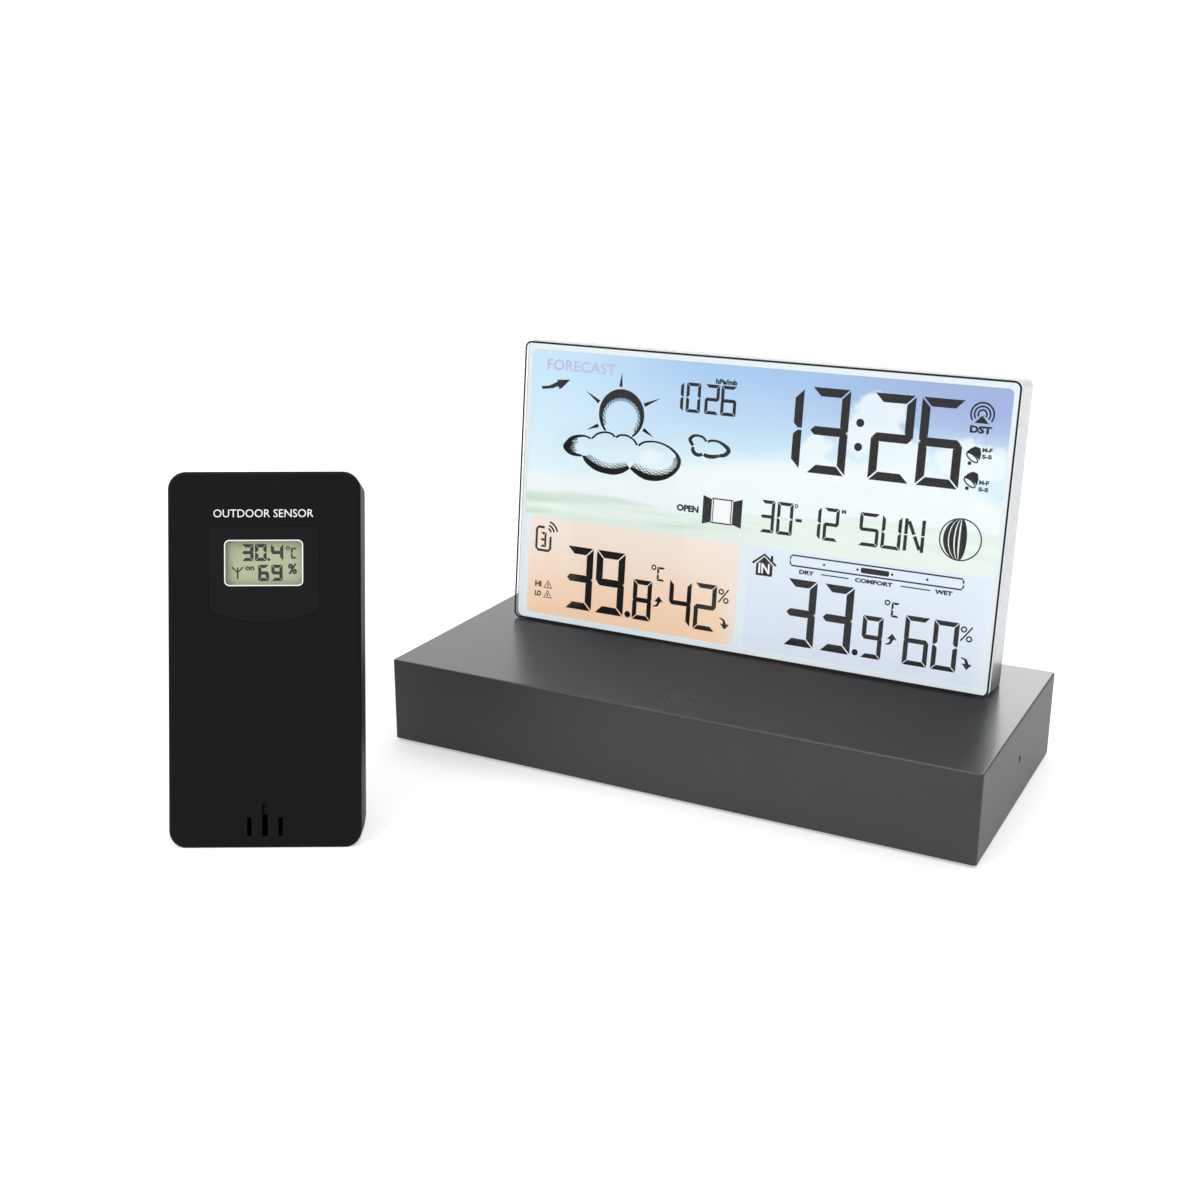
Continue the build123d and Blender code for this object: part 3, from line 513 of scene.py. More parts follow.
# The top of the cloud and of each hill, as shares across and up the panel.
CLOUD_LINE = [(0.0, 0.53), (0.2, 0.555), (0.33, 0.57), (0.40, 0.615), (0.49, 0.67), (0.57, 0.70),
              (0.68, 0.69), (0.82, 0.72), (0.93, 0.66), (1.0, 0.59)]
FAR_HILL = [(0.0, 0.468), (0.13, 0.484), (0.23, 0.485), (0.30, 0.472), (0.35, 0.458), (0.45, 0.478),
            (0.58, 0.492), (0.66, 0.508), (0.73, 0.524), (0.82, 0.519), (1.0, 0.522)]
DARK_HILL = [(0.0, 0.462), (0.08, 0.455), (0.14, 0.446), (0.22, 0.428), (0.35, 0.43), (0.6, 0.40),
             (1.0, 0.40)]
NEAR_HILL = [(0.0, 0.385), (0.05, 0.395), (0.10, 0.415), (0.16, 0.43), (0.24, 0.43), (0.34, 0.405),
             (0.46, 0.42), (0.6, 0.46), (0.78, 0.475), (0.88, 0.44), (1.0, 0.43)]
PUFFS = [
    # across, up, half width, half height
    (117.5, 78.5, 9.0, 5.0), (113.0, 71.0, 7.5, 8.0), (122.0, 66.0, 10.0, 9.0), (98.5, 65.0, 5.5, 5.5),
    (143.0, 67.0, 10.0, 7.0), (104.0, 59.5, 12.0, 5.0), (46.0, 57.0, 5.0, 3.0),
]
PICTURE_FOOT = 0.386


def line_up(look, across, places):
    """The height of a line at each place across, both as shares of the panel."""
    return look.ramp(across, [(at, (h, h, h, 1.0)) for at, h in places])


def below(look, up, line, soft):
    return look.step(look.math("SUBTRACT", line, up), 0.0, soft)


def cloud_cover(look, place):
    """Ragged puffs of cloud: 1 inside any of them."""
    ragged = look.noise(9.0, 6.0, 0.65, (PANEL_W / PANEL_H, 1, 1), place)
    cover = 0.0
    for x, y, half_w, half_h in PUFFS:
        scale = (PANEL_W / half_w, PANEL_H / half_h, 1)
        away = look.node("ShaderNodeMapping", {
            "Vector": place, "Scale": scale, "Location": (-x / half_w, -y / half_h, 0)})
        length = look.node("ShaderNodeVectorMath", {0: away.outputs[0]}, operation="LENGTH")
        inside = look.math("SUBTRACT", 2.0, length.outputs["Value"])
        frayed = look.math("MULTIPLY_ADD", ragged, -2.2, inside)
        puff = look.step(frayed, 0.02, 0.2)
        cover = look.math("MAXIMUM", puff, cover)
    return cover


def sky_picture():
    """The picture behind the readings: a hazy blue sky, white clouds and two pale green hills."""
    look = Look("sky_picture", roughness=0.5, specular=0.2)
    place = look.node("ShaderNodeTexCoord").outputs["UV"]
    split = look.node("ShaderNodeSeparateXYZ", {"Vector": place})
    u, v = split.outputs[0], split.outputs[1]
    shades = [look.ramp(v, [(at, srgb(*tone)) for at, tone in stops]) for _, stops in SKY]
    picture = shades[0]
    for (near, _), (far, _), shade in zip(SKY, SKY[1:], shades[1:]):
        picture = look.mix(look.step(u, (near + far) / 2, (far - near) / 2), picture, shade)
    wisps = look.noise(3.0, 4.0, 0.55, (0.8, 3.2, 1), place)
    line = look.math("MULTIPLY_ADD", wisps, 0.10, look.math("SUBTRACT", line_up(look, u, CLOUD_LINE), 0.05))
    bank = below(look, v, line, 0.035)
    cover = look.math("MAXIMUM", bank, look.math("MULTIPLY", cloud_cover(look, place), 0.8))
    folds = look.noise(6.0, 4.0, 0.5, (1.2, 2.4, 1), place)
    shadow = look.mix(folds, srgb(250, 254, 253), srgb(236, 245, 247))
    picture = look.mix(cover, picture, shadow)
    streak = look.noise(2.6, 3.0, 0.5, (0.7, 7.0, 1), place)
    wavy = look.math("MULTIPLY_ADD", streak, 0.012, -0.006)
    bumpy = look.math("ADD", v, wavy)
    east = look.step(u, 0.45, 0.3)
    hills = [
        (FAR_HILL, 0.008, (220, 235, 223), (231, 242, 231)),
        (DARK_HILL, 0.010, (207, 227, 207), (228, 240, 225)),
        (NEAR_HILL, 0.012, (226, 240, 226), (236, 245, 235)),
    ]
    for line, soft, west_tone, east_tone in hills:
        ground = look.mix(east, srgb(*west_tone), srgb(*east_tone))
        ground = look.mix(look.step(streak, 0.56, 0.10), ground, srgb(238, 248, 238))
        picture = look.mix(below(look, bumpy, line_up(look, u, line), soft), picture, ground)
    picture = look.mix(below(look, v, PICTURE_FOOT, 0.006), picture, srgb(231, 242, 248))
    lit(look, picture)
    return look.material


def room_tint(name, low, high, far, fade):
    """A pale block of colour behind a set of readings: low at its foot, high at its head and far past
    the share fade across the panel."""
    look = Look(name, roughness=0.5, specular=0.2)
    place = look.node("ShaderNodeTexCoord").outputs["UV"]
    split = look.node("ShaderNodeSeparateXYZ", {"Vector": place})
    soft = look.noise(5.0, 3.0, 0.5, (1, 1, 1), place)
    rise = look.math("MULTIPLY_ADD", soft, 0.08, look.math("SUBTRACT", split.outputs[1], 0.04))
    tint = look.mix(look.step(rise, 0.21, 0.17), srgb(*low), srgb(*high))
    end = look.step(split.outputs[0], fade, 0.025)
    lit(look, look.mix(look.math("MULTIPLY", end, 0.8), tint, srgb(*far)))
    return look.material


LOOKS = {
    "base_shell": base_plastic(),
    "base_under": moulded("base_under", (48, 49, 51), (54, 55, 57), (0.5, 0.64), 1800.0, 0.4),
    "key_plastic": moulded("key_plastic", (112, 114, 118), (122, 124, 127), (0.3, 0.42), 2600.0, 0.2),
    "rubber_black": moulded("rubber_black", (34, 34, 35), (44, 44, 44), (0.75, 0.92), 1200.0, 0.5, 0.3),
    "steel": metal("steel", (196, 196, 192), (168, 168, 164), (0.18, 0.36), (1, 1, 8)),
    "tin": metal("tin", (190, 190, 186), (160, 162, 160), (0.28, 0.45), (1, 6, 1)),
    "chip_black": moulded("chip_black", (30, 30, 32), (40, 40, 41), (0.45, 0.62), 2400.0, 0.4, 0.4),
    "ivory": moulded("ivory", (222, 216, 198), (210, 204, 186), (0.4, 0.55), 1500.0, 0.2),
    "ferrite": moulded("ferrite", (54, 54, 56), (38, 38, 40), (0.55, 0.75), 1400.0, 0.6, 0.4),
    "white_plastic": moulded("white_plastic", (236, 238, 240), (226, 228, 231), (0.42, 0.56), 1900.0, 0.2),
    "lamp": moulded("lamp", (246, 240, 196), (238, 236, 214), (0.3, 0.4), 2000.0, 0.2),
    "sensor_case": moulded("sensor_case", (13, 13, 14), (16, 16, 17), (0.42, 0.58), 2400.0, 0.3, 0.08),
    "sensor_inset": moulded("sensor_inset", (12, 13, 15), (15, 16, 19), (0.3, 0.4), 3000.0, 0.08, 0.12),
    "lcd_dark": moulded("lcd_dark", (20, 23, 28), (26, 30, 36), (0.22, 0.3), 2200.0, 0.05),
    "film": moulded("film", (196, 214, 228), (206, 220, 232), (0.3, 0.4), 1800.0, 0.05),
    "board_green": circuit_board(),
    "cell_jacket": cell_jacket("cell_jacket", "batteries", Vector((1, 0, 0)), Vector((0, 1, 0)), 3),
    "sensor_jacket": cell_jacket("sensor_jacket", "sensor_cells", SENSOR_UP, -SENSOR_RIGHT, 2),
    "reflector": moulded("reflector", (206, 209, 213), (190, 194, 199), (0.34, 0.5), 900.0, 0.35, 0.4),
    "copper": winding(),
    "ribbon": ribbon_film(),
    "clear": guide_plastic(),
    "clear_front": front_film(),
    "sensor_window": front_film(),
    "sky_picture": sky_picture(),
    "peach": room_tint("peach", (254, 216, 182), (250, 233, 220), (246, 235, 226), 0.475),
    "lavender": room_tint("lavender", (226, 234, 247), (229, 239, 249), (238, 243, 248), 0.98),
    "border": lit_plain("border", (232, 239, 243), (238, 243, 246)),
    # Painted shade: a dark line round the panel's rims and along its foot.
    "painted_edge_shade": lit_plain("painted_edge_shade", (30, 31, 34), (40, 41, 44), 0.2),
    "pale": lit_plain("pale", (244, 248, 250), (250, 252, 253)),
    "ink": lit_plain("ink", (30, 28, 28), (35, 32, 32), 0.1),
    "faint": lit_plain("faint", (186, 184, 218), (198, 192, 224)),
    "print_white": moulded("print_white", (232, 232, 230), (222, 222, 220), (0.5, 0.6), 2000.0, 0.1),
    "print_grey": moulded("print_grey", (150, 152, 155), (140, 142, 146), (0.5, 0.6), 2000.0, 0.1),
    "print_dark": moulded("print_dark", (40, 41, 43), (44, 45, 47), (0.24, 0.32), 2000.0, 0.05),
    "lcd_green": moulded("lcd_green", (176, 186, 148), (184, 192, 156), (0.35, 0.5), 1600.0, 0.05, 0.3),
    "lcd_ink": moulded("lcd_ink", (40, 42, 36), (48, 50, 42), (0.35, 0.5), 1600.0, 0.05, 0.3),
}

NODE_LOOKS = {
    "base_shell": ["base_housing"],
    "base_under": ["base_cover", "battery_door"],
    "key_plastic": ["dimmer_knob"] + [n for n in NODES if n.startswith("key_") and n != "key_board"],
    "rubber_black": ["rubber_feet"],
    "steel": ["battery_springs", "battery_contacts", "base_screws", "board_screws", "bracket_screws",
              "touch_spring", "sensor_springs", "sensor_contacts", "sensor_screws", "sensor_pin"],
    "tin": ["radio_module", "dimmer_switch"],
    "chip_black": ["controller_chips", "sounder", "tact_switches", "power_socket", "reset_switch",
                   "panel_bracket", "sensor_probe", "sensor_switches"],
    "ivory": ["ribbon_socket"],
    "ferrite": ["ferrite_rod"],
    "white_plastic": ["reset_button", "diffuser_sheet", "channel_knob", "send_button"],
    "reflector": ["rear_reflector"],
    "lamp": ["light_lamps"],
    "sensor_case": ["sensor_front", "sensor_rear", "sensor_door", "sensor_stand"],
    "sensor_inset": ["sensor_plate"],
    "lcd_dark": ["display_cell"],
    "film": ["colour_film"],
    "board_green": ["main_board", "room_sensor", "key_board", "light_board", "sensor_board"],
    "cell_jacket": ["batteries"],
    "sensor_jacket": ["sensor_cells"],
    "copper": ["ferrite_coil", "touch_plate"],
    "ribbon": ["display_ribbon"],
    "clear": ["light_guide"],
    "clear_front": ["front_sheet"],
    "sensor_window": ["sensor_window"],
    "lcd_green": ["sensor_display"],
}


def dress_cad_nodes():
    for look, names in NODE_LOOKS.items():
        for name in names:
            for slot in NODES[name].material_slots:
                slot.material = LOOKS[look]


# ------------------------ the console's display

BAR_DIGITS = [
    # character, left, right, bottom, top, bar width
    ("1", 86.0, 94.0, 58.8, 82.4, 2.6), ("3", 96.3, 108.0, 58.2, 83.0, 2.5),
    ("2", 114.9, 127.1, 58.2, 83.0, 2.5), ("6", 128.8, 141.2, 58.2, 83.0, 2.5),
    ("1", 51.0, 55.8, 72.1, 81.0, 1.0), ("0", 56.7, 61.4, 72.1, 81.0, 1.0),
    ("2", 62.8, 67.5, 72.1, 81.0, 1.0), ("6", 68.0, 73.0, 72.1, 81.0, 1.0),
    ("3", 83.3, 87.7, 38.9, 48.6, 1.0), ("0", 88.5, 93.5, 38.9, 48.6, 1.0),
    ("1", 98.0, 102.2, 38.9, 48.6, 1.0), ("2", 103.0, 107.7, 38.9, 48.6, 1.0),
    ("S", 113.9, 119.8, 38.9, 48.6, 1.0), ("U", 120.6, 126.4, 38.9, 48.6, 1.0),
    ("3", 18.8, 28.3, 6.1, 26.3, 2.35), ("9", 29.5, 39.6, 6.1, 26.3, 2.35),
    ("8", 42.8, 49.3, 6.0, 18.8, 1.5), ("4", 55.3, 62.7, 6.3, 20.5, 1.45),
    ("2", 63.8, 71.1, 6.1, 20.7, 1.45), ("3", 93.5, 102.9, 6.1, 26.3, 2.3),
    ("3", 104.9, 114.3, 6.1, 26.3, 2.3), ("9", 117.5, 123.7, 6.1, 18.7, 1.35),
    ("6", 130.1, 137.4, 6.1, 20.6, 1.4), ("0", 138.5, 145.8, 6.1, 20.6, 1.4),
    ("C", 50.7, 53.4, 19.3, 23.7, 0.65), ("C", 125.6, 128.1, 19.3, 23.7, 0.65),
    ("3", 8.8, 11.0, 24.6, 29.4, 0.75),
]
DOTS = [
    # across, up, radius
    (111.4, 74.0, 1.2), (111.4, 67.1, 1.2), (41.3, 7.2, 1.05), (115.9, 7.2, 0.95),
    (104.3, 31.7, 0.37), (114.5, 31.7, 0.37), (124.9, 31.7, 0.37), (135.2, 31.7, 0.37),
]
WORDS = [
    # words, left, right, bottom, top
    ("hPa/mb", 66.0, 72.9, 81.3, 82.9), ("DST", 142.8, 148.9, 74.3, 76.4),
    ("M-F", 146.9, 149.7, 69.3, 70.5), ("S-S", 146.9, 149.7, 67.5, 68.7),
    ("M-F", 146.9, 149.7, 60.3, 61.5), ("S-S", 146.9, 149.7, 58.4, 59.6),
    ("OPEN", 55.9, 63.2, 42.0, 44.1), ("D", 93.9, 94.9, 47.3, 48.5), ("M", 108.3, 109.6, 47.4, 48.6),
    ("HI", 7.6, 10.0, 11.5, 13.4), ("LO", 7.6, 10.0, 8.4, 10.2),
    ("DRY", 96.8, 101.5, 28.0, 29.3), ("COMFORT", 114.0, 125.3, 28.0, 29.3),
    ("WET", 137.7, 142.8, 28.0, 29.3),
]
UNIT_SIGNS = [
    # across to the degree ring, the rising arrow, the falling arrow and the percent sign
    (49.5, 51.8, 74.3, 71.7), (124.3, 126.6, 148.9, 146.3),
]
BIG_CLOUD = [
    # across, up, line width; anticlockwise, one run of points for each lobe
    [(25.2, 61.2, 0.5), (23.2, 61.8, 0.5), (20.5, 61.7, 0.75), (17.9, 60.8, 1.15), (16.1, 59.0, 1.7),
     (15.4, 57.6, 1.9), (16.3, 56.2, 1.7), (18.4, 55.1, 1.1), (21.1, 54.9, 0.7), (22.4, 55.1, 0.5)],
    [(22.4, 55.1, 0.7), (23.7, 53.3, 1.3), (26.3, 51.6, 1.6), (29.5, 50.7, 1.6), (33.7, 50.5, 1.6),
     (36.8, 51.4, 1.4), (39.2, 53.0, 0.8)],
    [(39.2, 53.0, 0.8), (41.6, 51.4, 1.4), (44.7, 50.2, 1.6), (48.4, 50.2, 1.5), (51.8, 51.2, 1.2),
     (54.7, 53.3, 0.9), (56.2, 55.7, 0.8), (56.1, 58.0, 0.85), (54.2, 60.1, 0.7), (51.1, 61.7, 0.5),
     (47.4, 62.4, 0.45), (43.7, 62.0, 0.5), (41.5, 60.7, 0.6)],
    [(41.5, 60.7, 0.6), (40.3, 62.1, 0.5), (37.9, 63.3, 0.5), (35.3, 63.3, 0.5), (33.7, 62.5, 0.6)],
    [(33.7, 62.5, 0.6), (32.4, 63.4, 0.5), (30.0, 63.7, 0.5), (27.4, 63.0, 0.5), (25.8, 61.7, 0.5),
     (25.2, 61.2, 0.5)],
]
SMALL_CLOUD = [
    [(64.5, 64.2, 0.6), (63.2, 65.4, 0.6), (61.3, 65.8, 0.6), (59.5, 65.5, 0.8), (58.3, 64.3, 0.95),
     (58.6, 63.2, 0.95), (59.6, 62.0, 0.8)],
    [(59.6, 62.0, 0.8), (59.4, 60.7, 1.0), (60.5, 59.4, 1.0), (62.1, 59.1, 0.9), (63.4, 59.6, 0.8)],
    [(63.4, 59.6, 0.8), (64.7, 59.0, 1.0), (66.8, 59.0, 1.0), (68.7, 59.6, 0.8)],
    [(68.7, 59.6, 0.8), (70.8, 60.0, 1.0), (72.2, 61.4, 1.1), (71.9, 62.8, 1.1), (70.0, 64.0, 0.8),
     (67.9, 64.7, 0.6), (65.8, 64.7, 0.6), (64.5, 64.2, 0.6)],
]
# A cloud's line is shaded inside where it is broader than this.
BROAD_LINE = 0.78
# The sun's middle and radius, then the turns at which its line starts and ends.
SUN = (35.3, 69.3, 7.8)
SUN_ENDS = (-57, 226)
SUN_STEPS = 60
# The tables place the readings on the front sheet's face; they lie behind it, so they move by this.
READINGS_SHIFT = (-1.307, -0.606, 0.0)
READINGS_SCALE = (1.00526, 1.00526, 1.0, 1.0)
# Boxes: left, right, bottom, top, and the radius of the corners where they are round.
SKY_BOX = (3.0, 153.9, 1.8, 87.2, 1.6)
OUTDOOR_BOX = (4.7, 77.6, 2.8, 34.4, 2.2)
INDOOR_BOX = (80.5, 153.4, 2.8, 34.3, 2.2)
FORECAST_BOX = (8.5, 32.5, 81.1, 84.4)
IN_BOX = (83.9, 87.5, 26.5, 29.6)
WINDOW_BOX = (68.1, 73.6, 40.1, 46.8, 0.1)
# The skirt's foot, below the base's top; then how far in the border and the painted shade line round the
# edges lie.
SKIRT_LOW = -3.6
BORDER_IN = 0.3
EDGE_IN = 0.45
RAYS = [
    # foot across and up, tip across and up
    (34.6, 77.8, 34.7, 82.3), (27.4, 72.5, 22.4, 75.7), (42.9, 72.9, 48.4, 75.5),
    (27.5, 65.3, 23.3, 63.5), (43.0, 65.5, 46.8, 63.3),
]


def sun_width(turn):
    """The sun's line is a crescent: broad at its head and thin where it meets the cloud."""
    return 0.5 + 1.9 * ((1 + math.sin(math.radians(turn))) / 2) ** 1.44


def sun_shapes():
    cx, cy, r = SUN
    line = arc_points(cx, cy, r, *SUN_ENDS, SUN_STEPS)
    step = (SUN_ENDS[1] - SUN_ENDS[0]) / SUN_STEPS
    widths = [1.1 * sun_width(SUN_ENDS[0] + step * i) for i in range(SUN_STEPS + 1)]
    shapes = band(line, widths, inside=1.0)
    for x0, y0, x1, y1 in RAYS:
        across = Vector((y0 - y1, x1 - x0)).normalized() * 0.6
        shapes.append([(x0 + across.x, y0 + across.y), (x0 - across.x, y0 - across.y), (x1, y1)])
    return shapes


def sun_stipple():
    """Three rows of dots that shade the sun inside its line, thinning out inwards."""
    cx, cy, r = SUN
    pitch = 2.4
    shapes = []
    for i in range(108):
        turn = SUN_ENDS[0] + 12 + pitch * i
        for row in range(3):
            jog = math.sin(5.1 * i + 2.3 * row)
            out = r - sun_width(turn) - 0.2 - 0.42 * row + 0.12 * jog
            x, y = arc_points(cx, cy, out, turn + 0.8 * jog, turn, 1)[0]
            shapes.append(disc(x, y, 0.19 - 0.035 * row, 6))
    return shapes


def cloud_shapes(lobes):
    """A cloud's outline, its line thickening and thinning along each lobe."""
    shapes = []
    for lobe in lobes:
        line = spline(lobe)
        shapes += band([p[:2] for p in line], [1.2 * p[2] for p in line], inside=1.0)
    return shapes


def cloud_stipple(lobes):
    """Dots that shade a cloud inside its broad lines, thinning out inwards."""
    shapes = []
    for lobe in lobes:
        line = [p for p in spline(lobe, 9) if p[2] > BROAD_LINE]
        for i, (x, y, width) in enumerate(line[1:-1]):
            along = Vector((line[i + 2][0] - line[i][0], line[i + 2][1] - line[i][1])).normalized()
            for row in range(4):
                jog = math.sin(7.3 * i + 3.1 * row)
                deep = 1.2 * width + 0.15 + 0.45 * row + 0.15 * jog
                dot_x = x - along.y * deep + 0.15 * jog
                dot_y = y + along.x * deep
                shapes.append(disc(dot_x, dot_y, 0.2 - 0.03 * row, 6))
    return shapes


def trend_arrow():
    """A brush stroke that rises to the right, with a barbed head."""
    shaft = [(6.6, 75.6), (7.1, 74.8), (10.6, 75.3), (12.9, 76.2), (12.3, 77.5), (9.6, 76.1)]
    return [shaft, [(12.2, 78.1), (12.4, 77.3), (13.1, 75.2), (13.9, 75.6), (16.9, 78.5)]]


def radio_icon():
    """A mast under three rings that are open at their foot."""
    shapes = [[(143.9, 77.1), (147.9, 77.1), (145.9, 79.3)]]
    for r in (1.2, 2.2, 3.2):
        shapes += ring(145.9, 79.6, r, 0.5, -35, 215)
    return shapes


def bell(drop):
    """A bell leaning over, its open mouth and clapper at the lower left."""
    body = [(142.4, 68.7), (143.6, 70.0), (144.9, 70.7), (146.3, 70.3), (146.7, 68.8), (146.4, 66.9),
            (145.6, 67.7), (144.4, 68.5), (143.3, 68.8)]
    tilt = math.radians(-35)
    mouth = []
    for x, y in disc(0, 0, 1, 28):
        along, across = 1.9 * x, 0.75 * y
        mouth.append((144.3 + along * math.cos(tilt) - across * math.sin(tilt),
                      67.5 + along * math.sin(tilt) + across * math.cos(tilt)))
    shapes = [body] + band(mouth, 0.4, closed=True) + [disc(143.7, 65.9, 0.55, 12)]
    return [[(x, y - drop) for x, y in shape] for shape in shapes]


def window_icon():
    """A window with both its shutters swung out."""
    left = [(64.5, 47.8), (67.4, 46.8), (67.4, 39.9), (64.5, 39.0)]
    right = [(74.3, 46.8), (77.3, 47.8), (77.3, 39.0), (74.3, 39.9)]
    rails = [band([(67.4, z), (74.3, z)], 0.4) for z in (47.1, 39.8)]
    stiles = [band([(x, 40.1), (x, 46.9)], 0.28) for x in (67.9, 73.8)]
    return [left, right] + sum(rails + stiles, [])


def moon_icon():
    """A disc outline, its dark side drawn as strips between half ovals."""
    cx, cy, r = 143.4, 44.3, 5.9
    shapes = ring(cx, cy, r, 0.38)
    turns = [math.radians(t) for t in range(-86, 87, 4)]
    for near, far in ((-4.9, -3.5), (-3.2, -1.9), (-1.5, -0.6), (-0.1, 1.8)):
        one = [(cx + near * math.cos(t), cy + r * math.sin(t)) for t in turns]
        other = [(cx + far * math.cos(t), cy + r * math.sin(t)) for t in turns]
        shapes += [[a, b, d, c] for a, b, c, d in zip(one, other, one[1:], other[1:])]
    return shapes


def comfort_bar():
    """A long slot, open at the middle of both ends, with a marker in its comfort zone."""
    x0, x1, y0, y1 = 93.8, 145.6, 30.2, 33.3
    low = [(x0, 31.55), (x0, 30.9), (x0 + 0.5, y0), (x1 - 0.5, y0), (x1, 30.9), (x1, 31.55)]
    high = [(x, y0 + y1 - y) for x, y in low]
    shapes = band(low, 0.45) + band(high, 0.45) + [rounded_box(115.5, 124.0, 30.9, 32.5, 0.5)]
    return shapes + band([(103.6, 28.7), (112.1, 28.7)], 0.35) + band([(127.7, 28.7), (136.3, 28.7)], 0.35)


def house_icon():
    """A house with wide eaves; its word is printed over it in white."""
    roof = band([(81.9, 29.3), (85.6, 32.3), (89.4, 29.3)], 0.7)
    wall = rounded_box(83.1, 88.4, 25.8, 29.4, 0.4)
    gable = [(83.2, 29.3), (88.3, 29.3), (85.6, 31.6)]
    chimney = rounded_box(87.6, 88.4, 30.6, 32.2, 0.1)
    return roof + [wall, gable, chimney]


def channel_icon():
    """A square with its top right corner open, and waves coming from it."""
    square = [(10.2, 31.0), (8.1, 31.0), (7.4, 30.3), (7.4, 24.2), (8.1, 23.5), (11.8, 23.5), (12.5, 24.2),
              (12.5, 28.2)]
    shapes = band(square, 0.82)
    for r in (1.4, 2.5, 3.7):
        shapes += ring(11.2, 29.3, r, 0.62, 12, 78)
    return shapes


def alarm_triangles():
    """Two warning triangles: an outline with a short bar standing in it."""
    shapes = []
    for y in (11.3, 8.1):
        shapes += band([(10.95, y + 0.2), (13.75, y + 0.2), (12.35, y + 2.45)], 0.5, closed=True)
        shapes += band([(12.35, y + 0.55), (12.35, y + 1.6)], 0.42)
    return shapes


def percent(x, y):
    """A percent sign by its lower left corner."""
    rings = ring(x + 0.8, y + 3.5, 0.7, 0.45) + ring(x + 2.5, y + 0.9, 0.7, 0.45)
    return rings + band([(x + 0.1, y + 0.1), (x + 3.2, y + 4.4)], 0.45)


def bent_arrow(x, y, way):
    """A small hooked arrow with its tip at x, y, rising where way is 1 and falling where it is -1."""
    line = spline([(x - 1.9, y - 3.4 * way, 0.25), (x - 0.5, y - 2.9 * way, 0.7), (x, y - 1.6 * way, 1.0)])
    stem = band([p[:2] for p in line], [p[2] for p in line])
    return stem + [[(x - 1.5, y - 1.75 * way), (x + 1.5, y - 1.75 * way), (x, y)]]


def weekday_n():
    """The N of the weekday: split uprights and a slanting bar in two halves."""
    x0, x1, y0, y1, t = 127.2, 133.2, 38.9, 48.6, 1.0
    middle = (y0 + y1) / 2
    shapes = []
    for low, high in ((y0 + 0.2, middle - 0.15), (middle + 0.15, y1 - 0.2)):
        shapes += [[(x, low), (x + t, low), (x + t, high), (x, high)] for x in (x0, x1 - t)]
    slant = [(x0 + t + 0.2, y1 - 0.9), (x1 - t - 0.2, y0 + 0.9)]
    centre = ((x0 + x1) / 2, middle)
    for end in slant:
        way = Vector(end) - Vector(centre)
        shapes += band([Vector(centre) + way * 0.06, Vector(end)], t)
    return shapes


def display_ink():
    """Every dark shape on the display, as one print."""
    shapes = []
    for char, x0, x1, y0, y1, t in BAR_DIGITS:
        shapes += bar_digit(char, x0, x1, y0, y1, t)
    shapes += [disc(x, y, r, 20) for x, y, r in DOTS]
    for text, x0, x1, y0, y1 in WORDS:
        shapes += letters(text, x0, x1, y0, y1, 0.055)
    shapes += sun_shapes() + sun_stipple() + trend_arrow() + radio_icon() + bell(0.0) + bell(7.0)
    shapes += cloud_shapes(BIG_CLOUD) + cloud_shapes(SMALL_CLOUD) + cloud_stipple(BIG_CLOUD)
    shapes += window_icon() + moon_icon() + comfort_bar() + house_icon() + channel_icon()
    shapes += alarm_triangles() + weekday_n() + band([(94.4, 43.75), (96.3, 43.75)], 0.9)
    for degree_at, up_tip, down_tip, percent_at in UNIT_SIGNS:
        shapes += ring(degree_at, 23.4, 0.65, 0.42) + percent(percent_at, 15.5)
        shapes += bent_arrow(up_tip, 14.5, 1) + bent_arrow(down_tip, 7.4, -1)
    return shapes


def spread_uv(piece, plane, width, height):
    """Lay the whole panel over 0 to 1 across the piece, so a picture keeps its place."""
    back = plane.inverted()
    layer = piece.data.uv_layers.new(name="UVMap")
    for loop in piece.data.loops:
        spot = back @ piece.data.vertices[loop.vertex_index].co
        layer.data[loop.index].uv = (spot.x / width, spot.y / height)


def make_display():
    """The border, the picture, its blocks of colour and the readings, in front of the display cell."""
    shown = DISPLAY @ Matrix.Translation(READINGS_SHIFT) @ Matrix.Diagonal(READINGS_SCALE)
    left = (PANEL_W - TONGUE_W) / 2
    right = PANEL_W - left
    skirt = [(left, SKIRT_LOW), (right, SKIRT_LOW), (right, BORDER_IN), (left, BORDER_IN)]
    border = rounded_box(
        BORDER_IN, PANEL_W - BORDER_IN, BORDER_IN, PANEL_H - BORDER_IN, PANEL_R - BORDER_IN)
    whites = letters("IN", *IN_BOX, 0.03) + [rounded_box(*WINDOW_BOX)]
    layers = [
        ("display_border", [border], "border", DISPLAY),
        # The skirt is painted shade: a dark band along the panel's foot where it meets the base.
        ("display_skirt_shade", [skirt], "painted_edge_shade", DISPLAY),
        ("display_sky", [rounded_box(*SKY_BOX)], "sky_picture", shown),
        ("display_outdoor", [rounded_box(*OUTDOOR_BOX)], "peach", shown),
        ("display_indoor", [rounded_box(*INDOOR_BOX)], "lavender", shown),
        ("display_forecast", letters("FORECAST", *FORECAST_BOX, 0.015), "faint", shown),
        ("display_ink", display_ink(), "ink", shown),
        ("display_whites", whites, "pale", shown),
    ]
    for depth, (name, shapes, look, plane) in enumerate(layers):
        piece = flat_piece(name, shapes, plane, LAYER * (depth + 1), LOOKS[look], "console")
        spread_uv(piece, plane, PANEL_W, PANEL_H)
        piece.visible_glossy = False
        piece.visible_diffuse = False
    # Painted shade: a dark ring just inside the panel's edges, for the dark rims of the clear sheets and
    # the shade at its foot.
    edge = frame_line(EDGE_IN, PANEL_W - EDGE_IN, EDGE_IN, PANEL_H - EDGE_IN, PANEL_R - 0.4, 0.58)
    flat_piece("display_edge_shade", edge, DISPLAY, PRINT_DEPTH + PRINT, LOOKS["painted_edge_shade"], "console")


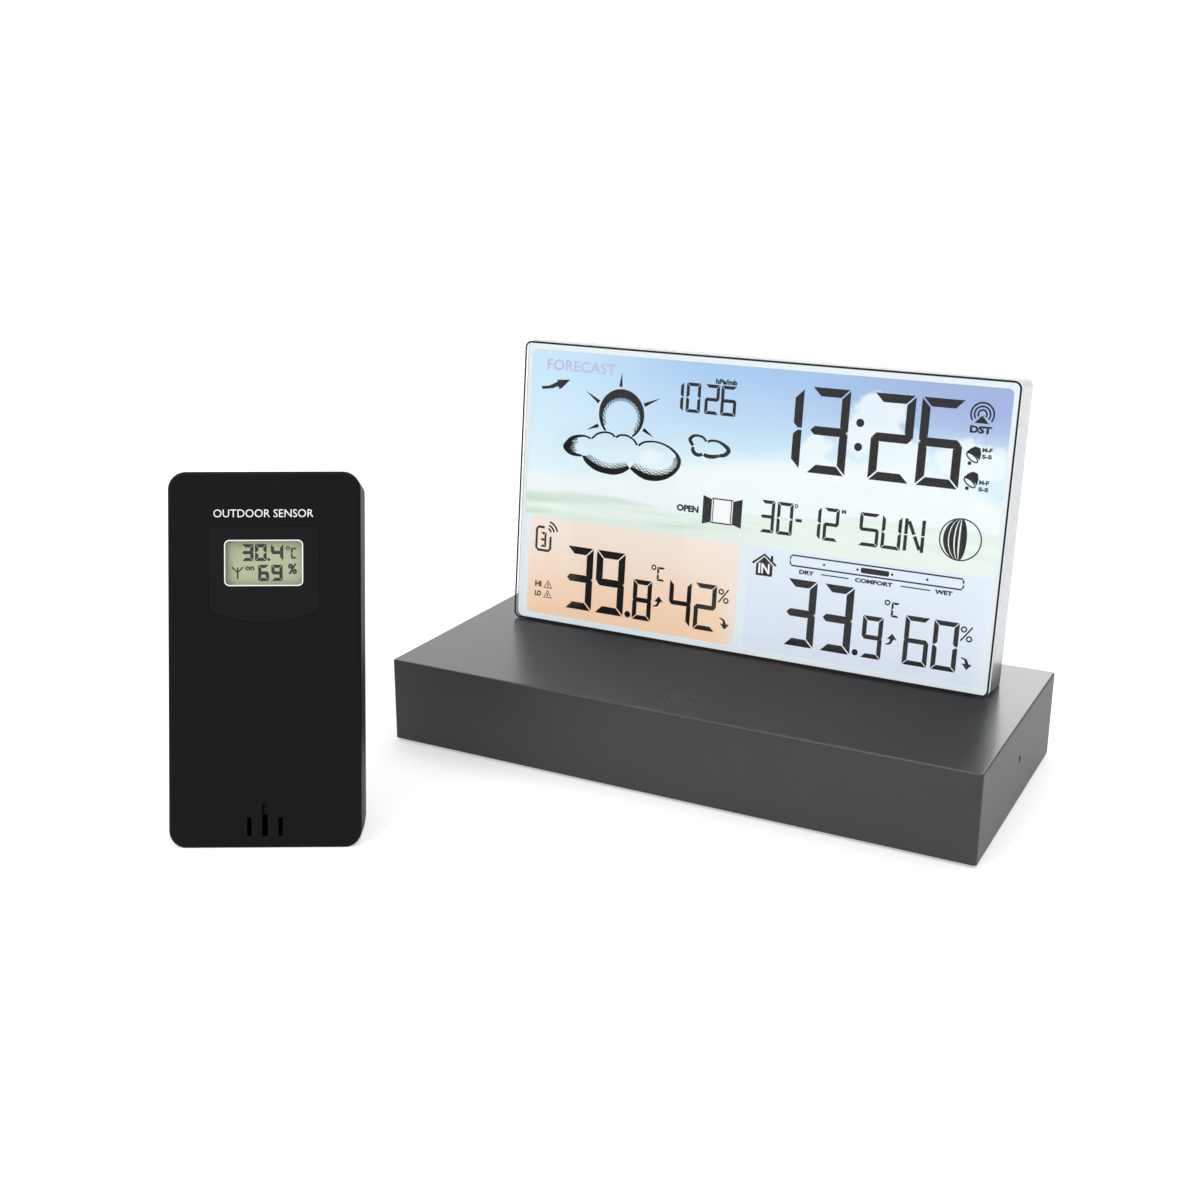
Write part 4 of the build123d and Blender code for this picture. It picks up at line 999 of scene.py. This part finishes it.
# ------------------------ prints on the console


def base_top_plane():
    middle = Vector((BASE_MID.x, BASE_MID.y, BASE_HIGH.z))
    return drawing_plane(middle, Vector((1, 0, 0)), Vector((0, 1, 0)))


def base_back_plane():
    return drawing_plane(Vector((BASE_MID.x, BASE_HIGH.y, 0)), Vector((-1, 0, 0)), Vector((0, 0, 1)))


def make_touch_mark():
    """A faint mark over the touch plate: a fingertip with rings round it."""
    low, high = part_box("touch_plate")
    x = ((low.x + high.x) / 2 - BASE_MID.x) / MM
    y = ((low.y + high.y) / 2 - BASE_MID.y) / MM
    shapes = [disc(x, y, 0.9)]
    for r in (2.2, 3.6, 5.0):
        shapes += ring(x, y, r, 0.45, 20, 160) + ring(x, y, r, 0.45, 200, 340)
    flat_piece("touch_mark", shapes, base_top_plane(), PRINT, LOOKS["print_dark"], "console")


KEY_WORDS = {
    # words, half width, bottom and top over the floor
    "key_mode": ("MODE", 3.2, 12.0, 13.9), "key_alarm": ("ALARM", 4.0, 12.0, 13.9),
    "key_down": ("-", 0.8, 12.7, 13.2), "key_up": ("+", 0.8, 12.0, 13.9),
    "key_channel": ("CH", 1.6, 12.0, 13.9), "key_unit": ("C/F", 2.4, 12.0, 13.9),
}


def make_key_words():
    """The words under the keys on the console's back."""
    shapes = []
    for key, (words, half, low, high) in KEY_WORDS.items():
        near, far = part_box(key)
        x = -((near.x + far.x) / 2 - BASE_MID.x) / MM
        shapes += letters(words, x - half, x + half, low, high)
    flat_piece("key_words", shapes, base_back_plane(), PRINT, LOOKS["print_grey"], "console")


# ------------------------ the sensor's face

SENSOR_DIGITS = [
    # character, left and right of the middle, bottom, top, bar width
    ("3", -6.2, -3.1, 75.9, 80.4, 0.88), ("0", -2.7, 0.4, 75.9, 80.4, 0.88),
    ("4", 1.5, 4.8, 75.9, 80.4, 0.88), ("6", -1.9, 1.0, 70.6, 74.9, 0.86),
    ("9", 1.6, 4.6, 70.6, 74.9, 0.86), ("C", 6.8, 8.5, 76.5, 79.4, 0.5),
]
LABEL_BOX = (-13.2, 13.1, 87.4, 89.5)
WINDOW_LINE = (-10.3, 10.2, 69.4, 81.3, 1.2, 0.3)
WINDOW_LINE_LIFT = -0.08


def sensor_reading():
    """The sensor's two rows of digits, with its aerial and unit signs."""
    shapes = []
    for char, x0, x1, y0, y1, t in SENSOR_DIGITS:
        shapes += bar_digit(char, x0, x1, y0, y1, t)
    shapes += [disc(0.95, 76.3, 0.4, 12)] + ring(6.0, 79.3, 0.4, 0.28)
    shapes += letters("%", 6.0, 8.4, 72.4, 75.2, 0.04)
    shapes += letters("on", -5.3, -2.9, 73.4, 74.5, 0.04)
    shapes += band([(-7.3, 71.1), (-7.3, 74.2)], 0.42)
    shapes += band([(-8.8, 74.3), (-7.3, 72.8), (-5.9, 74.3)], 0.4)
    return shapes


def make_sensor_face():
    white = LOOKS["print_white"]
    ink = LOOKS["lcd_ink"]
    label = letters("OUTDOOR SENSOR", *LABEL_BOX)
    flat_piece("sensor_label", label, SENSOR, PRINT, white, "sensor")
    border = frame_line(*WINDOW_LINE)
    flat_piece("sensor_border", border, SENSOR, WINDOW_LINE_LIFT, white, "sensor")
    lift = SENSOR_CELL_OUT + PRINT
    flat_piece("sensor_reading", sensor_reading(), SENSOR, lift, ink, "sensor")


# ------------------------ studio

# The camera in metres from the middle of the base's foot, and in degrees.
CAMERA_FROM_BASE = (0.1705, -0.4015, 0.190)
CAMERA_PITCH = 18.2
CAMERA_TURN = 27.74
LENS = 46.5
FLOOR_HALF = 6.0
FLOOR_GLOW = 0.7
LIGHTS = [
    # name, place, what it points at, size, watts
    ("key", (-0.5, -0.9, 1.3), FRAME_MID, (0.9, 0.9), 9.0),
    ("top", (0.2, 0.5, 1.4), FRAME_MID, (1.2, 0.8), 7.0),
    ("rim", (-0.1, 1.15, 0.46), BASE_HIGH, (0.55, 0.3), 0.9),
]


def make_camera():
    """The camera, a little above the set and to its right front."""
    data = bpy.data.cameras.new("camera")
    data.lens = LENS
    data.sensor_width = 36.0
    data.clip_start = 0.01
    camera = bpy.data.objects.new("camera", data)
    camera.location = Vector((BASE_MID.x, BASE_MID.y, 0)) + Vector(CAMERA_FROM_BASE)
    camera.rotation_euler = (math.radians(90 - CAMERA_PITCH), 0, math.radians(CAMERA_TURN))
    bpy.context.scene.collection.objects.link(camera)
    bpy.context.scene.camera = camera


def make_floor():
    look = Look("floor", roughness=0.7, specular=0.2)
    paper = look.mix(look.noise(6.0), (0.60, 0.60, 0.60, 1), (0.63, 0.63, 0.63, 1))
    look.colour(paper)
    look.feed(look.shader.inputs["Emission Color"], paper)
    look.shader.inputs["Emission Strength"].default_value = FLOOR_GLOW
    mesh = bpy.data.meshes.new("floor")
    corners = [(x * FLOOR_HALF, y * FLOOR_HALF, 0) for x, y in ((-1, -1), (1, -1), (1, 1), (-1, 1))]
    mesh.from_pydata(corners, [], [(0, 1, 2, 3)])
    floor = bpy.data.objects.new("floor", mesh)
    mesh.materials.append(look.material)
    bpy.context.scene.collection.objects.link(floor)


def make_light(name, place, target, size, power):
    data = bpy.data.lights.new(name, "AREA")
    data.shape = "RECTANGLE"
    data.size, data.size_y = size
    data.energy = power
    light = bpy.data.objects.new(name, data)
    light.location = place
    aim = Vector(target) - Vector(place)
    light.rotation_euler = aim.to_track_quat("-Z", "Y").to_euler()
    bpy.context.scene.collection.objects.link(light)


def make_studio():
    world = bpy.data.worlds.new("studio")
    world.use_nodes = True
    background = world.node_tree.nodes["Background"]
    background.inputs["Color"].default_value = (1.0, 1.0, 1.0, 1.0)
    background.inputs["Strength"].default_value = 1.0
    bpy.context.scene.world = world
    bpy.context.scene.view_settings.view_transform = "Standard"
    for name, place, target, size, power in LIGHTS:
        make_light(name, place, target, size, power)


make_camera()
make_floor()
make_studio()
dress_cad_nodes()
make_display()
make_touch_mark()
make_key_words()
make_sensor_face()
